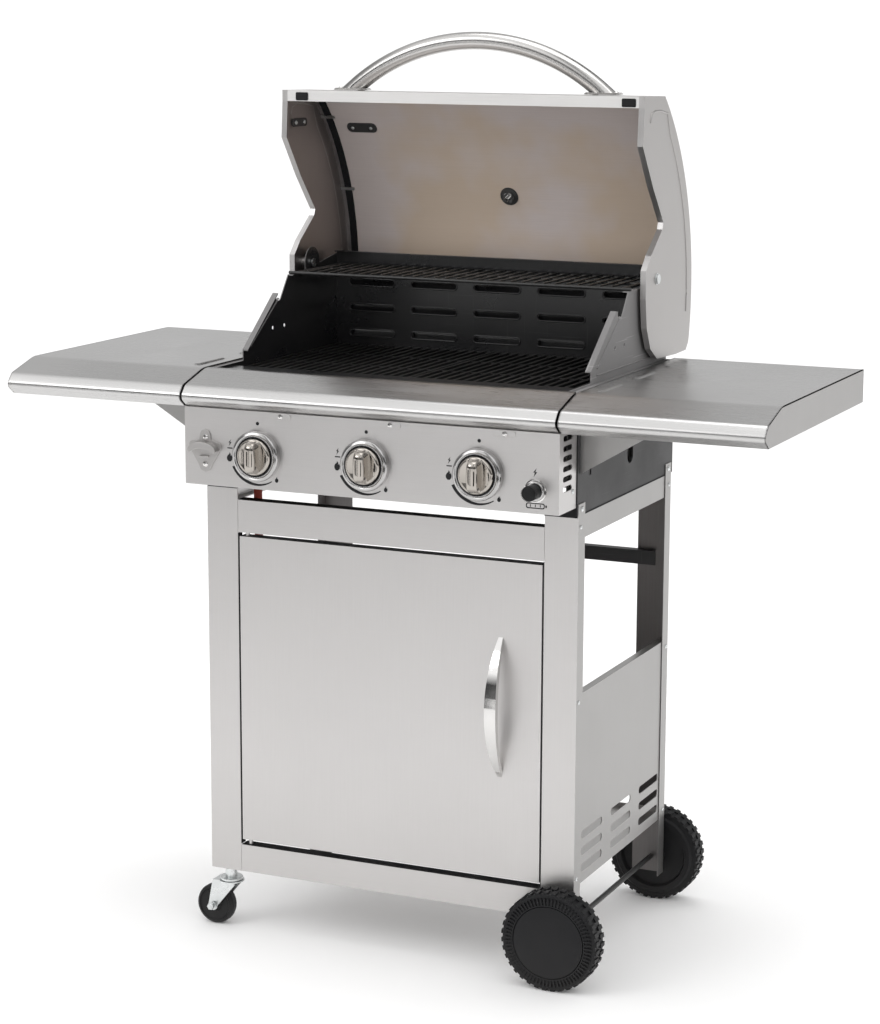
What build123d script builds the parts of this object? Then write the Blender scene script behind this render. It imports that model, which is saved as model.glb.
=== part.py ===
"""Three-burner gas barbecue grill on a wheeled cabinet cart, lid open.

Frame: X to the right, Y to the back, Z up. The origin is on the ground, midway between the
two shelves and near the middle of the depth. Lengths are in millimetres.
"""

import math
import os

from build123d import *

os.makedirs("parts", exist_ok=True)

# ---------------------------------------------------------------- driving sizes
# Whole grill
overall_width = 1200.0      # across the two side shelves
worktop_height = 880.0      # top face of the shelves and the front trim
sheet = 1.5                 # sheet metal
seam = 0.5                  # gap between sheets that lie flush beside each other
running_fit = 0.05          # radial clearance of pins, axles and stems

# Cart
cart_width = 604.0          # across the legs
cart_depth = 394.0
leg_face = 52.0
leg_flange = 25.0
caster_leg_foot = 95.0      # height of the left legs above the ground
side_rail_height = 35.0
rail_flange = 20.0
rail_lap = 30.0             # how far the cross rails reach behind the legs
upper_rail_height = 50.0
lower_rail_height = 43.0
crossbar_height = 25.0
crossbar_z = 552.0
side_panel_bottom = 145.0
side_panel_top = 435.0
panel_fold = 12.0
vent_length = 86.0
vent_height = 12.0
vent_pitch_y = 123.0
vent_pitch_z = 25.5
vent_first_z = 167.0
base_shelf_z = 148.0
base_shelf_fold = 10.0
base_shelf_gap = 4.0        # from the front rail's flange, clear of the door's swing

# Door
door_gap_side = 3.0
door_gap_top = 6.0
door_gap_bottom = 9.0
door_depth = 18.0
door_pin_inset = 11.0       # from the door's left edge
door_pin_setback = 6.0      # from the door's front face
door_pin_radius = 3.0
door_pin_engagement = 4.0
door_handle_x = 183.0
door_handle_length = 211.0
door_handle_bow = 40.0
door_handle_width = 18.0
door_handle_thickness = 9.0
door_handle_centre_z = 406.5

# Wheels and axle
wheel_radius = 75.0
wheel_width = 40.0
wheel_gap = 8.0             # from the leg's face to the wheel
wheel_hub_radius = 16.0
wheel_cap_radius = 54.0
wheel_lugs = 36
lug_height = 4.0
axle_radius = 4.0
axle_x = 281.0
axle_drop = 24.0            # how far the right legs reach below the axle

# Casters
caster_radius = 31.5
caster_width = 22.0
caster_trail = 26.0
caster_x = -276.0
caster_inset_y = 15.0       # from the leg's outer face to the stem
caster_stem_radius = 5.0
caster_head_radius = 20.0
caster_cup_radius = 16.5
caster_axle_radius = 4.0
caster_cheek = 2.0

# Body below the worktop
body_half = 300.5           # outer faces of the body side panels
body_front = -200.0
body_back = 206.0
body_drop = 179.0           # from the worktop down to the bottom of the body
panel_front = -267.0        # face of the control panel
panel_drop = 166.0          # from the worktop down to the panel's lower edge
panel_half = 299.0
worktop_drop = 50.0         # height of the worktop edges
nose_y = -281.0             # foremost point of the rounded worktop edge
trim_half = 296.5
shelf_back = 208.0
shelf_flat_front = -207.0
rib_rise = 2.0              # pressed ribs near the inner edge of each shelf
gusset_reach = 116.0
gusset_drop = 69.0
gusset_y = -190.0

# Controls
knob_pitch = 177.0
knob_z_drop = 116.0         # from the worktop down to the knob axes
knob_radius = 27.5
knob_reach = 31.0           # from the panel's face to the front of the grip
knob_skirt = 13.0
knob_grip_width = 15.0
bezel_radius = 38.0
bezel_bore = 30.0
bezel_depth = 12.0
stem_radius = 4.0
knob_travel = 3.5
button_x = 264.0
button_z_drop = 133.0
button_radius = 10.5
button_reach = 30.0
collar_radius = 14.5
opener_x = -264.0
opener_z_drop = 114.0

# Gas train
manifold_radius = 8.0
manifold_y = -222.0
manifold_z_drop = 136.0
valve_width = 26.0
burner_radius = 16.0
hose_radius = 6.5
hose_x = -232.0
hose_y = -165.0
hose_exit_z = 706.0

# Fire bowl
bowl_half = 285.0           # outer faces of the bowl's side walls
bowl_front = -140.0
bowl_back = 210.5
bowl_drop = 150.0           # from the worktop down to the bowl's floor
bowl_back_rise = 142.0      # from the worktop up to the rear wall's top
bowl_rim_rise = 118.0       # from the worktop up to the level part of the side walls
deck_drop = 4.0
grate_top_drop = 8.0
grate_height = 10.0
grate_bar = 6.0
grate_bars = 18
spit_hole_radius = 3.0
spit_hole_pitch = 39.0
rack_wire = 2.5
rack_rods = 30

# Lid
hinge_y = 121.0
hinge_rise = 130.0          # from the worktop up to the lid's hinge
hinge_bolt_radius = 4.0
cap_outer = 299.5           # outer faces of the lid's end caps
cap_rim = 9.0
lid_front_y = 53.0
lid_top_rise = 404.0
lid_back_radius = 395.1     # curve of the lid's skin
lid_curve_y = -112.8
lid_curve_rise = 101.0
lid_lip_height = 17.0
lid_handle_y = 122.0
lid_handle_half_span = 208.0
lid_handle_rise = 76.0
lid_handle_radius = 13.5
thermometer_angle = 20.0    # above the level, seen from the curve's centre

# ---------------------------------------------------------------- worked-out places
top = worktop_height
cart_half = cart_width / 2
front_y = -cart_depth / 2
back_y = cart_depth / 2
shelf_half = overall_width / 2
body_bottom = top - body_drop
leg_top = body_bottom - 3.0
upper_rail_top = body_bottom - 20.0
upper_rail_bottom = upper_rail_top - upper_rail_height
lower_rail_bottom = caster_leg_foot
lower_rail_top = lower_rail_bottom + lower_rail_height
rail_half = cart_half - leg_face - seam
wheel_leg_foot = wheel_radius - axle_drop
door_half = cart_half - leg_face - door_gap_side
door_bottom = lower_rail_top + door_gap_bottom
door_top = upper_rail_bottom - door_gap_top
worktop_bottom = top - worktop_drop
panel_bottom = top - panel_drop
knob_z = top - knob_z_drop
button_z = top - button_z_drop
bowl_floor_z = top - bowl_drop
bowl_inner = bowl_half - sheet
deck_top = top - deck_drop
grate_top = top - grate_top_drop
grate_bottom = grate_top - grate_height
hinge_z = top + hinge_rise
lid_top = top + lid_top_rise
cap_inner = cap_outer - cap_rim
knob_xs = [-knob_pitch, 0.0, knob_pitch]


# ---------------------------------------------------------------- helpers
def slab(x0, x1, y0, y1, z0, z1, mode=Mode.ADD):
    """Add a rectangular block, given by its limits, to the part being built."""
    with Locations(((x0 + x1) / 2, (y0 + y1) / 2, (z0 + z1) / 2)):
        Box(abs(x1 - x0), abs(y1 - y0), abs(z1 - z0), mode=mode)


def rod_x(x0, x1, y, z, radius, mode=Mode.ADD):
    """Add a round bar along X."""
    with Locations(Location(((x0 + x1) / 2, y, z), (0, 90, 0))):
        Cylinder(radius, abs(x1 - x0), mode=mode)


def rod_y(x, y0, y1, z, radius, mode=Mode.ADD):
    """Add a round bar along Y."""
    with Locations(Location((x, (y0 + y1) / 2, z), (90, 0, 0))):
        Cylinder(radius, abs(y1 - y0), mode=mode)


def rod_z(x, y, z0, z1, radius, mode=Mode.ADD):
    """Add an upright round bar."""
    with Locations(((x), y, (z0 + z1) / 2)):
        Cylinder(radius, abs(z1 - z0), mode=mode)


def save(part, name):
    """Label a finished piece and write its STEP file."""
    part.label = name
    export_step(part, f"parts/{name}.step")


SIDES = {"left": -1, "right": 1}
ENDS = {"front": -1, "rear": 1}


# ---------------------------------------------------------------- cart
def make_leg(side, end, foot):
    """An angle leg: a wide face to the front or back and a narrow flange on the outer side."""
    outer = side * cart_half
    face = end * cart_depth / 2
    tab_top = leg_top + 20.0
    with BuildPart() as leg:
        slab(outer, outer - side * leg_face, face, face - end * sheet, foot, leg_top)
        slab(outer, outer - side * sheet, face, face - end * leg_flange, foot, tab_top)
        with Locations(Location((outer, face - end * leg_flange / 2, tab_top - 8.0), (0, 90, 0))):
            Cylinder(2.6, 4 * sheet, mode=Mode.SUBTRACT)
        if side > 0:
            axle_bore = axle_radius + running_fit
            rod_y(axle_x, face - end * 4, face + end * 4, wheel_radius, axle_bore, Mode.SUBTRACT)
    return leg.part


for end_name, end in ENDS.items():
    save(make_leg(-1, end, caster_leg_foot), f"leg_{end_name}_left")
    save(make_leg(1, end, wheel_leg_foot), f"leg_{end_name}_right")


def make_side_rail(side):
    """The top rail between two legs, a channel that the body stands on."""
    web = side * (cart_half - sheet)
    inner_y = back_y - sheet
    bottom = body_bottom - side_rail_height
    with BuildPart() as rail:
        slab(web, web - side * sheet, -inner_y, inner_y, bottom, body_bottom)
        for z in (bottom, body_bottom - sheet):
            slab(web, web - side * 15.0, -inner_y, inner_y, z, z + sheet)
    return rail.part


def make_side_panel(side):
    """The lower side panel, with a folded top edge and three groups of vents."""
    outer = side * (cart_half - sheet)
    inner_y = back_y - sheet
    with BuildPart() as panel:
        slab(outer, outer - side * sheet, -inner_y, inner_y, side_panel_bottom, side_panel_top)
        fold_bottom = side_panel_top - sheet
        slab(outer, outer - side * panel_fold, -inner_y, inner_y, fold_bottom, side_panel_top)
        with BuildSketch(Plane.YZ.offset(outer)):
            with Locations((0, vent_first_z + vent_pitch_z)):
                with GridLocations(vent_pitch_y, vent_pitch_z, 3, 3):
                    SlotOverall(vent_length, vent_height)
        extrude(amount=2 * sheet, both=True, mode=Mode.SUBTRACT)
    return panel.part


for side_name, side in SIDES.items():
    save(make_side_rail(side), f"side_rail_{side_name}")
    save(make_side_panel(side), f"side_panel_{side_name}")


def make_front_rail(bottom, rail_top, pin_z):
    """A channel across the front, lapped behind the legs, with a hole for a door pin."""
    with BuildPart() as rail:
        slab(-rail_half, rail_half, front_y, front_y + sheet, bottom, rail_top)
        for z in (bottom, rail_top - sheet):
            slab(-rail_half, rail_half, front_y, front_y + rail_flange, z, z + sheet)
        lap = rail_half + rail_lap
        slab(-lap, lap, front_y + sheet, front_y + 2 * sheet, bottom + 6.0, rail_top - 6.0)
        pin_x = -door_half + door_pin_inset
        pin_y = front_y + door_pin_setback
        bore = door_pin_radius + running_fit
        rod_z(pin_x, pin_y, pin_z - 3.0, pin_z + 3.0, bore, Mode.SUBTRACT)
    return rail.part


save(make_front_rail(upper_rail_bottom, upper_rail_top, upper_rail_bottom), "front_rail_upper")
save(make_front_rail(lower_rail_bottom, lower_rail_top, lower_rail_top), "front_rail_lower")

with BuildPart() as crossbar:
    lap = rail_half + rail_lap
    y = back_y - sheet
    slab(-lap, lap, y, y - sheet, crossbar_z, crossbar_z + crossbar_height)
    bar_top = crossbar_z + crossbar_height
    slab(-lap + 1, lap - 1, y, y - 15.0, bar_top - sheet, bar_top)
save(crossbar.part, "rear_crossbar")

with BuildPart() as base_shelf:
    half = cart_half - 2 * sheet
    shelf_front = front_y + rail_flange + base_shelf_gap
    shelf_rear = back_y - sheet
    fold_top = base_shelf_z + base_shelf_fold
    slab(-half, half, shelf_front, shelf_rear, base_shelf_z, base_shelf_z + sheet)
    for side in (-1, 1):
        slab(side * half, side * (half - sheet), shelf_front, shelf_rear, base_shelf_z, fold_top)
    slab(-half, half, shelf_rear - sheet, shelf_rear, base_shelf_z, fold_top)
save(base_shelf.part, "base_shelf")


# ---------------------------------------------------------------- door
with BuildPart() as door_panel:
    slab(-door_half, door_half, front_y, front_y + door_depth, door_bottom, door_top)
    inner = door_half - sheet
    door_back = front_y + door_depth
    slab(-inner, inner, front_y + sheet, door_back, door_bottom + sheet, door_top - sheet, Mode.SUBTRACT)
    pin_x = -door_half + door_pin_inset
    pin_y = front_y + door_pin_setback
    pin_low = lower_rail_top - door_pin_engagement
    pin_high = upper_rail_bottom + door_pin_engagement
    rod_z(pin_x, pin_y, pin_low, door_bottom + 12.0, door_pin_radius)
    rod_z(pin_x, pin_y, door_top - 12.0, pin_high, door_pin_radius)
save(door_panel.part, "door_panel")

with BuildPart() as door_handle:
    half = door_handle_length / 2
    inner_bow = door_handle_bow - door_handle_thickness
    with BuildSketch(Plane.YZ.offset(door_handle_x)):
        with BuildLine():
            ends = [(front_y, door_handle_centre_z - half), (front_y, door_handle_centre_z + half)]
            foot = 9.0
            inner_ends = [(front_y, ends[0][1] + foot), (front_y, ends[1][1] - foot)]
            ThreePointArc(ends[0], (front_y - door_handle_bow, door_handle_centre_z), ends[1])
            Line(ends[1], inner_ends[1])
            ThreePointArc(inner_ends[1], (front_y - inner_bow, door_handle_centre_z), inner_ends[0])
            Line(inner_ends[0], ends[0])
        make_face()
    extrude(amount=door_handle_width / 2, both=True)
    with BuildSketch(Plane.XZ.offset(-front_y)):
        with BuildLine():
            low = door_handle_centre_z - half
            high = door_handle_centre_z + half
            tip = 3.5
            for sign in (-1, 1):
                edge = door_handle_x + sign * tip
                middle = door_handle_x + sign * door_handle_width / 2
                ThreePointArc((edge, low), (middle, door_handle_centre_z), (edge, high))
            Line((door_handle_x - tip, low), (door_handle_x + tip, low))
            Line((door_handle_x - tip, high), (door_handle_x + tip, high))
        make_face()
    extrude(amount=door_handle_bow + 5.0, mode=Mode.INTERSECT)
save(door_handle.part, "door_handle")


# ---------------------------------------------------------------- wheels
axle_end = -front_y + wheel_gap + wheel_width - 8.0
with BuildPart() as axle:
    rod_y(axle_x, -axle_end, axle_end, wheel_radius, axle_radius)
    for end in (-1, 1):
        washer = end * (back_y + 0.5)
        rod_y(axle_x, washer, washer + end * (wheel_gap - 1.0), wheel_radius, axle_radius + 5.0)
save(axle.part, "axle")


def make_wheel(end):
    """A moulded wheel with a smooth outer disc, a ribbed side wall and two rows of lugs."""
    inner_face = back_y + wheel_gap
    tread = wheel_radius - lug_height
    shoulder = 9.0
    hub_step = 7.0
    ring_gap = 1.5
    with BuildPart() as wheel:
        with BuildSketch(Plane.XY):
            with BuildLine():
                Polyline(
                    (0, 0), (wheel_hub_radius, 0), (wheel_hub_radius + 2, hub_step),
                    (tread - 20, hub_step), (tread - 17, 0), (tread - shoulder, 0),
                    (tread, shoulder), (tread, wheel_width - shoulder),
                    (tread - shoulder, wheel_width - 1), (wheel_cap_radius + ring_gap, wheel_width - 1),
                    (wheel_cap_radius + ring_gap, wheel_width - 3), (wheel_cap_radius, wheel_width - 3),
                    (wheel_cap_radius, wheel_width), (0, wheel_width), (0, 0),
                )
            make_face()
        revolve(axis=Axis.Y)
        lug_step = 360.0 / wheel_lugs
        lug_width = math.pi * wheel_radius / wheel_lugs
        for row, start in ((0.27, 0.0), (0.73, lug_step / 2)):
            with Locations(Location((0, wheel_width * row, 0), (90, 0, 0))):
                with PolarLocations(tread + lug_height / 2 - 2.0, wheel_lugs, start_angle=start):
                    Box(lug_height + 4.0, lug_width, wheel_width * 0.34)
        with Locations(Location((0, wheel_width / 2, 0), (90, 0, 0))):
            Cylinder(wheel_radius, wheel_width, mode=Mode.INTERSECT)
        with Locations(Location((0, (wheel_width - 6.0) / 2, 0), (90, 0, 0))):
            Cylinder(axle_radius + running_fit, wheel_width - 6.0, mode=Mode.SUBTRACT)
    placed = Pos(axle_x, inner_face, wheel_radius) * wheel.part
    if end < 0:
        placed = mirror(placed, about=Plane.XZ)
    return placed


for end_name, end in ENDS.items():
    save(make_wheel(end), f"wheel_{end_name}")


# ---------------------------------------------------------------- casters
fork_top = 2 * caster_radius + 11.0
cup_gap = 0.3


def make_caster_stem(end):
    """The stem that carries a caster: foot plate, collar nut, ball cup and retaining head."""
    y = end * (back_y - caster_inset_y)
    inner_x = -cart_half + sheet
    inner_y = end * (back_y - sheet)
    with BuildPart() as stem:
        plate_y = inner_y - end * 34.0
        slab(inner_x, inner_x + leg_face - 6.0, inner_y, plate_y, caster_leg_foot, caster_leg_foot + 3.0)
        rod_z(caster_x, y, fork_top - 5.0, caster_leg_foot + 10.0, caster_stem_radius)
        rod_z(caster_x, y, caster_leg_foot - 8.0, caster_leg_foot, caster_stem_radius + 4.0)
        rod_z(caster_x, y, fork_top + cup_gap, fork_top + 5.0, caster_cup_radius)
        rod_z(caster_x, y, fork_top + 5.0, caster_leg_foot - 8.0, caster_stem_radius + 4.0)
        rod_z(caster_x, y, fork_top - 5.5, fork_top - caster_cheek - cup_gap, caster_stem_radius + 3.0)
    return stem.part


def make_caster_fork(end):
    """The swivelling fork: round head, two cheeks swept back and a riveted axle."""
    y = end * (back_y - caster_inset_y)
    wheel_x = caster_x - caster_trail
    cheek_y = caster_width / 2 + 1.5
    with BuildPart() as fork:
        head_bottom = fork_top - caster_cheek
        rod_z(caster_x, y, head_bottom, fork_top, caster_head_radius)
        head_half = cheek_y + caster_cheek
        slab(wheel_x, caster_x, y - head_half, y + head_half, head_bottom, fork_top)
        for sign in (-1, 1):
            with BuildSketch(Plane.XZ.offset(-(y + sign * (cheek_y + caster_cheek / 2)))):
                with BuildLine():
                    reach = caster_head_radius * 0.62
                    Polyline(
                        (wheel_x, fork_top), (caster_x + reach, fork_top),
                        (caster_x + reach, fork_top - 5.0), (wheel_x + 8.0, caster_radius),
                        (wheel_x - 8.0, caster_radius), (wheel_x, fork_top),
                    )
                make_face()
                with Locations((wheel_x, caster_radius)):
                    Circle(8.0)
            extrude(amount=caster_cheek / 2, both=True)
        axle_half = cheek_y + caster_cheek + 2.0
        rod_y(wheel_x, y - axle_half, y + axle_half, caster_radius, caster_axle_radius)
        bore = caster_stem_radius + running_fit
        rod_z(caster_x, y, head_bottom - 1.0, fork_top + 1.0, bore, Mode.SUBTRACT)
    return fork.part


def make_caster_wheel(end):
    """A small solid wheel with rounded edges, bored for its axle."""
    y = end * (back_y - caster_inset_y)
    half = caster_width / 2
    with BuildPart() as wheel:
        with BuildSketch(Plane.XY):
            with BuildLine():
                Polyline(
                    (caster_axle_radius + running_fit, -half), (10.0, -half), (12.0, -half + 3.0),
                    (caster_radius - 7.0, -half + 3.0), (caster_radius - 5.0, -half + 0.5),
                    (caster_radius - 1.5, -half + 3.0), (caster_radius, -half + 7.0),
                    (caster_radius, half - 7.0), (caster_radius - 1.5, half - 3.0),
                    (caster_radius - 5.0, half - 0.5), (caster_radius - 7.0, half - 3.0),
                    (12.0, half - 3.0), (10.0, half), (caster_axle_radius + running_fit, half),
                    (caster_axle_radius + running_fit, -half),
                )
            make_face()
        revolve(axis=Axis.Y)
    return Pos(caster_x - caster_trail, y, caster_radius) * wheel.part


for end_name, end in ENDS.items():
    save(make_caster_stem(end), f"caster_stem_{end_name}")
    save(make_caster_fork(end), f"caster_fork_{end_name}")
    save(make_caster_wheel(end), f"caster_wheel_{end_name}")


# ---------------------------------------------------------------- body
def make_body_panel(side):
    """A painted body side panel that stands on the side rail and carries a shelf."""
    outer = side * body_half
    with BuildPart() as panel:
        slab(outer, outer - side * sheet, body_front, body_back, body_bottom, deck_top)
        with BuildSketch(Plane.YZ.offset(outer)):
            with Locations((15.0, top - 108.0)):
                SlotOverall(54.0, 24.0, rotation=90)
            with Locations((-150.0, top - 112.0)):
                Rectangle(7.0, 28.0)
        extrude(amount=2 * sheet, both=True, mode=Mode.SUBTRACT)
    return panel.part


def make_bowl_side(side):
    """A side wall of the fire bowl: sloped front edge, spit notch, hinge ear and folded edges."""
    outer = side * bowl_half
    inner = side * bowl_inner
    foot_y = -112.0
    slope_start = (foot_y, top + 17.0)
    slope_end = (-12.0, top + 94.0)
    rim = top + bowl_rim_rise
    wall_back = (bowl_back, top + bowl_back_rise - 4.0)
    with BuildPart() as wall:
        with BuildSketch(Plane.YZ.offset(outer)):
            with BuildLine():
                Polyline(
                    (body_front - sheet, bowl_floor_z), (body_front - sheet, top), (foot_y, top),
                    slope_start, slope_end, (-6.0, top + 93.0),
                )
                ThreePointArc((-6.0, top + 93.0), (4.0, top + 80.0), (14.0, top + 86.0))
                Polyline(
                    (14.0, top + 86.0), (38.0, rim), (hinge_y - 36.0, rim), wall_back,
                    (bowl_back, bowl_floor_z), (body_front - sheet, bowl_floor_z),
                )
            make_face()
            with Locations((hinge_y, hinge_z)):
                Circle(25.0)
            with Locations((hinge_y, hinge_z)):
                Circle(hinge_bolt_radius + running_fit, mode=Mode.SUBTRACT)
            with Locations((4.5, top + 40.0)):
                with GridLocations(spit_hole_pitch, 1, 2, 1):
                    Circle(spit_hole_radius, mode=Mode.SUBTRACT)
        extrude(amount=-side * sheet)
        fold = 8.0
        with BuildSketch(Plane.YZ.offset(inner)):
            with BuildLine():
                drop = 1.9
                Polyline(
                    slope_start, slope_end, (slope_end[0], slope_end[1] - drop),
                    (slope_start[0], slope_start[1] - drop), slope_start,
                )
            make_face()
        extrude(amount=-side * fold)
        slab(inner, inner - side * fold, 38.0, hinge_y - 36.0, rim - sheet, rim)
        slab(outer, side * body_half, body_front, body_back, deck_top, deck_top + sheet)
    return wall.part


for side_name, side in SIDES.items():
    save(make_body_panel(side), f"body_panel_{side_name}")
    save(make_bowl_side(side), f"bowl_side_{side_name}")

ledge = 12.0
with BuildPart() as bowl_front_wall:
    deck_front = body_front - sheet
    wall_rear = bowl_front + sheet
    slab(-bowl_inner, bowl_inner, deck_front, wall_rear, deck_top - sheet, deck_top)
    slab(-bowl_inner, bowl_inner, bowl_front, wall_rear, bowl_floor_z, deck_top)
    slab(-bowl_inner, bowl_inner, wall_rear, wall_rear + ledge, grate_bottom - sheet, grate_bottom)
    for x in knob_xs:
        rod_y(x, bowl_front - 2, wall_rear + 2, knob_z, burner_radius + 0.5, Mode.SUBTRACT)
save(bowl_front_wall.part, "bowl_front")

with BuildPart() as bowl_back_wall:
    wall_front = bowl_back - sheet
    wall_top = top + bowl_back_rise
    slab(-bowl_inner, bowl_inner, wall_front, bowl_back, bowl_floor_z, wall_top)
    slab(-bowl_inner, bowl_inner, wall_front - 8.0, wall_front, wall_top - sheet, wall_top)
    slab(-bowl_inner, bowl_inner, wall_front - ledge, wall_front, grate_bottom - sheet, grate_bottom)
    louvre_length = 78.0
    with BuildSketch(Plane.XZ.offset(-bowl_back)):
        with Locations((0, top + 51.0)):
            with GridLocations(110.0, 41.0, 5, 3):
                SlotOverall(louvre_length, 9.0)
    extrude(amount=2 * sheet, both=True, mode=Mode.SUBTRACT)
save(bowl_back_wall.part, "bowl_back")

grease_hole_radius = 24.0
tray_half = 92.0
tray_top = body_bottom + 20.0
tray_bottom = tray_top - 26.0
tray_front = -128.0
tray_back = 196.0
with BuildPart() as bowl_floor:
    floor_rear = bowl_back - sheet
    floor_front = bowl_front + sheet
    slab(-bowl_inner, bowl_inner, floor_front, floor_rear, bowl_floor_z, bowl_floor_z + sheet)
    rod_z(0, 30.0, bowl_floor_z - 1, bowl_floor_z + 3, grease_hole_radius, Mode.SUBTRACT)
    for side in (-1, 1):
        # Tray runners hang under the floor, one each side of the drip tray.
        runner = side * (tray_half + 4.0)
        lip_top = tray_top - 3.0 - seam
        slab(runner, runner + side * sheet, tray_front, tray_back, lip_top - sheet, bowl_floor_z)
        slab(runner, side * (tray_half - 0.5), tray_front, tray_back, lip_top - sheet, lip_top)
save(bowl_floor.part, "bowl_floor")

with BuildPart() as drip_tray:
    tub_half = tray_half - 5.0
    slab(-tub_half, tub_half, tray_front, tray_back, tray_bottom, tray_top)
    well_half = tub_half - sheet
    well_front = tray_front + sheet
    well_back = tray_back - sheet
    well_floor = tray_bottom + sheet
    slab(-well_half, well_half, well_front, well_back, well_floor, tray_top + 1, Mode.SUBTRACT)
    lip = tray_top - 3.0
    for side in (-1, 1):
        slab(side * well_half, side * (tray_half + 3.0), tray_front, tray_back, lip, lip + sheet)
    slab(-tub_half, tub_half, tray_back, tray_back + 14.0, tray_top - sheet, tray_top)
    slab(-tub_half, tub_half, tray_back + 14.0 - sheet, tray_back + 14.0, tray_top - 16.0, tray_top)
save(drip_tray.part, "drip_tray")


# ---------------------------------------------------------------- worktop
def worktop_profile(inset=0.0):
    """Points of the worktop's section: flat top, sloped front and rounded nose."""
    return [
        (shelf_flat_front, top - inset), (-268.0 + inset, top - 18.0 - inset),
        (nose_y + inset, top - 32.0), (nose_y + inset + 2.0, top - 42.0), (-265.0 + inset, worktop_bottom),
    ]


def make_shelf(side):
    """A side shelf: a pressed tray, open below, with a rounded front edge and three ribs."""
    inner_x = side * body_half
    outer_x = side * shelf_half
    skin = sheet
    with BuildPart() as shelf:
        with BuildSketch(Plane.YZ.offset(inner_x)):
            with BuildLine():
                Polyline(
                    *worktop_profile(), (shelf_back, worktop_bottom), (shelf_back, top),
                    (shelf_flat_front, top),
                )
            make_face()
        extrude(amount=side * (shelf_half - body_half))
        with BuildSketch(Plane.YZ.offset(inner_x + side * skin)):
            with BuildLine():
                Polyline(
                    *worktop_profile(skin), (shelf_back - skin, worktop_bottom),
                    (shelf_back - skin, top - skin), (shelf_flat_front, top - skin),
                )
            make_face()
        extrude(amount=side * (shelf_half - body_half - 2 * skin), mode=Mode.SUBTRACT)
        with Locations((inner_x + side * 25.0, 0, top + rib_rise / 2 - 0.25)):
            with GridLocations(1, 142.0, 1, 3):
                Box(12.0, 80.0, rib_rise + 0.5)
    return shelf.part


def make_gussets():
    """Triangular braces under the two shelves, against the body panels."""
    with BuildPart() as gussets:
        for side in (-1, 1):
            for y in (gusset_y, body_back - 12.0):
                root = side * body_half
                with BuildSketch(Plane.XZ.offset(-y)):
                    with BuildLine():
                        Polyline(
                            (root, worktop_bottom), (root + side * gusset_reach, worktop_bottom),
                            (root, worktop_bottom - gusset_drop), (root, worktop_bottom),
                        )
                    make_face()
                extrude(amount=-sheet)
                tab = root + side * sheet
                tip = root + side * gusset_reach
                slab(tab, root + side * 14.0, y, y + sheet, worktop_bottom, worktop_bottom + 20.0)
                slab(tab, tip, y, y + 12.0, worktop_bottom, worktop_bottom + sheet)
    return gussets.part


for side_name, side in SIDES.items():
    save(make_shelf(side), f"shelf_{side_name}")
save(make_gussets(), "shelf_gussets")

with BuildPart() as front_trim:
    trim_rear = body_front - sheet
    with BuildSketch(Plane.YZ.offset(-trim_half)):
        with BuildLine():
            rear_drop = 20.0
            Polyline(
                *worktop_profile(), (-246.0, worktop_bottom), (-246.0, worktop_bottom + sheet),
                *reversed(worktop_profile(sheet)[:-1]), (trim_rear - sheet, top - sheet),
                (trim_rear - sheet, top - rear_drop), (trim_rear, top - rear_drop), (trim_rear, top),
                (shelf_flat_front, top),
            )
        make_face()
    extrude(amount=2 * trim_half)
save(front_trim.part, "front_trim")


# ---------------------------------------------------------------- control panel
with BuildPart() as control_panel:
    panel_back = body_front + 12.0
    fold = 20.0
    slab(-panel_half, panel_half, panel_front, panel_front + sheet, panel_bottom, worktop_bottom)
    for side in (-1, 1):
        end_x = side * panel_half
        end_inner = end_x - side * sheet
        slab(end_x, end_inner, panel_front, panel_back, panel_bottom, worktop_bottom)
    for z in (panel_bottom, worktop_bottom - sheet):
        slab(-panel_half, panel_half, panel_front, panel_front + fold, z, z + sheet)
    for x in knob_xs:
        rod_y(x, panel_front - 1, panel_front + 3, knob_z, 10.0, Mode.SUBTRACT)
    rod_y(button_x, panel_front - 1, panel_front + 3, button_z, button_radius + 0.4, Mode.SUBTRACT)
    with BuildSketch(Plane.YZ.offset(-panel_half)):
        with Locations(((panel_front + body_front) / 2 - 2.0, top - 96.0)):
            with GridLocations(1, 14.5, 1, 6):
                SlotOverall(34.0, 8.0)
    extrude(amount=2 * panel_half, mode=Mode.SUBTRACT)
save(control_panel.part, "control_panel")

with BuildPart() as panel_bezels:
    ring_places = [(x, knob_z, bezel_radius, bezel_bore, bezel_depth) for x in knob_xs]
    ring_places.append((button_x, button_z, collar_radius, button_radius + 0.4, 8.0))
    for x, z, outer_radius, bore, depth in ring_places:
        with BuildSketch(Plane.XZ.offset(-panel_front)):
            with Locations((x, z)):
                Circle(outer_radius)
                Circle(bore, mode=Mode.SUBTRACT)
        extrude(amount=depth)
        rim = panel_bezels.edges(Select.LAST).group_by(Axis.Y)[0].sort_by(SortBy.RADIUS)[-1]
        fillet(rim, min(depth, outer_radius - bore) * 0.6)
save(panel_bezels.part, "panel_bezels")

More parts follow.
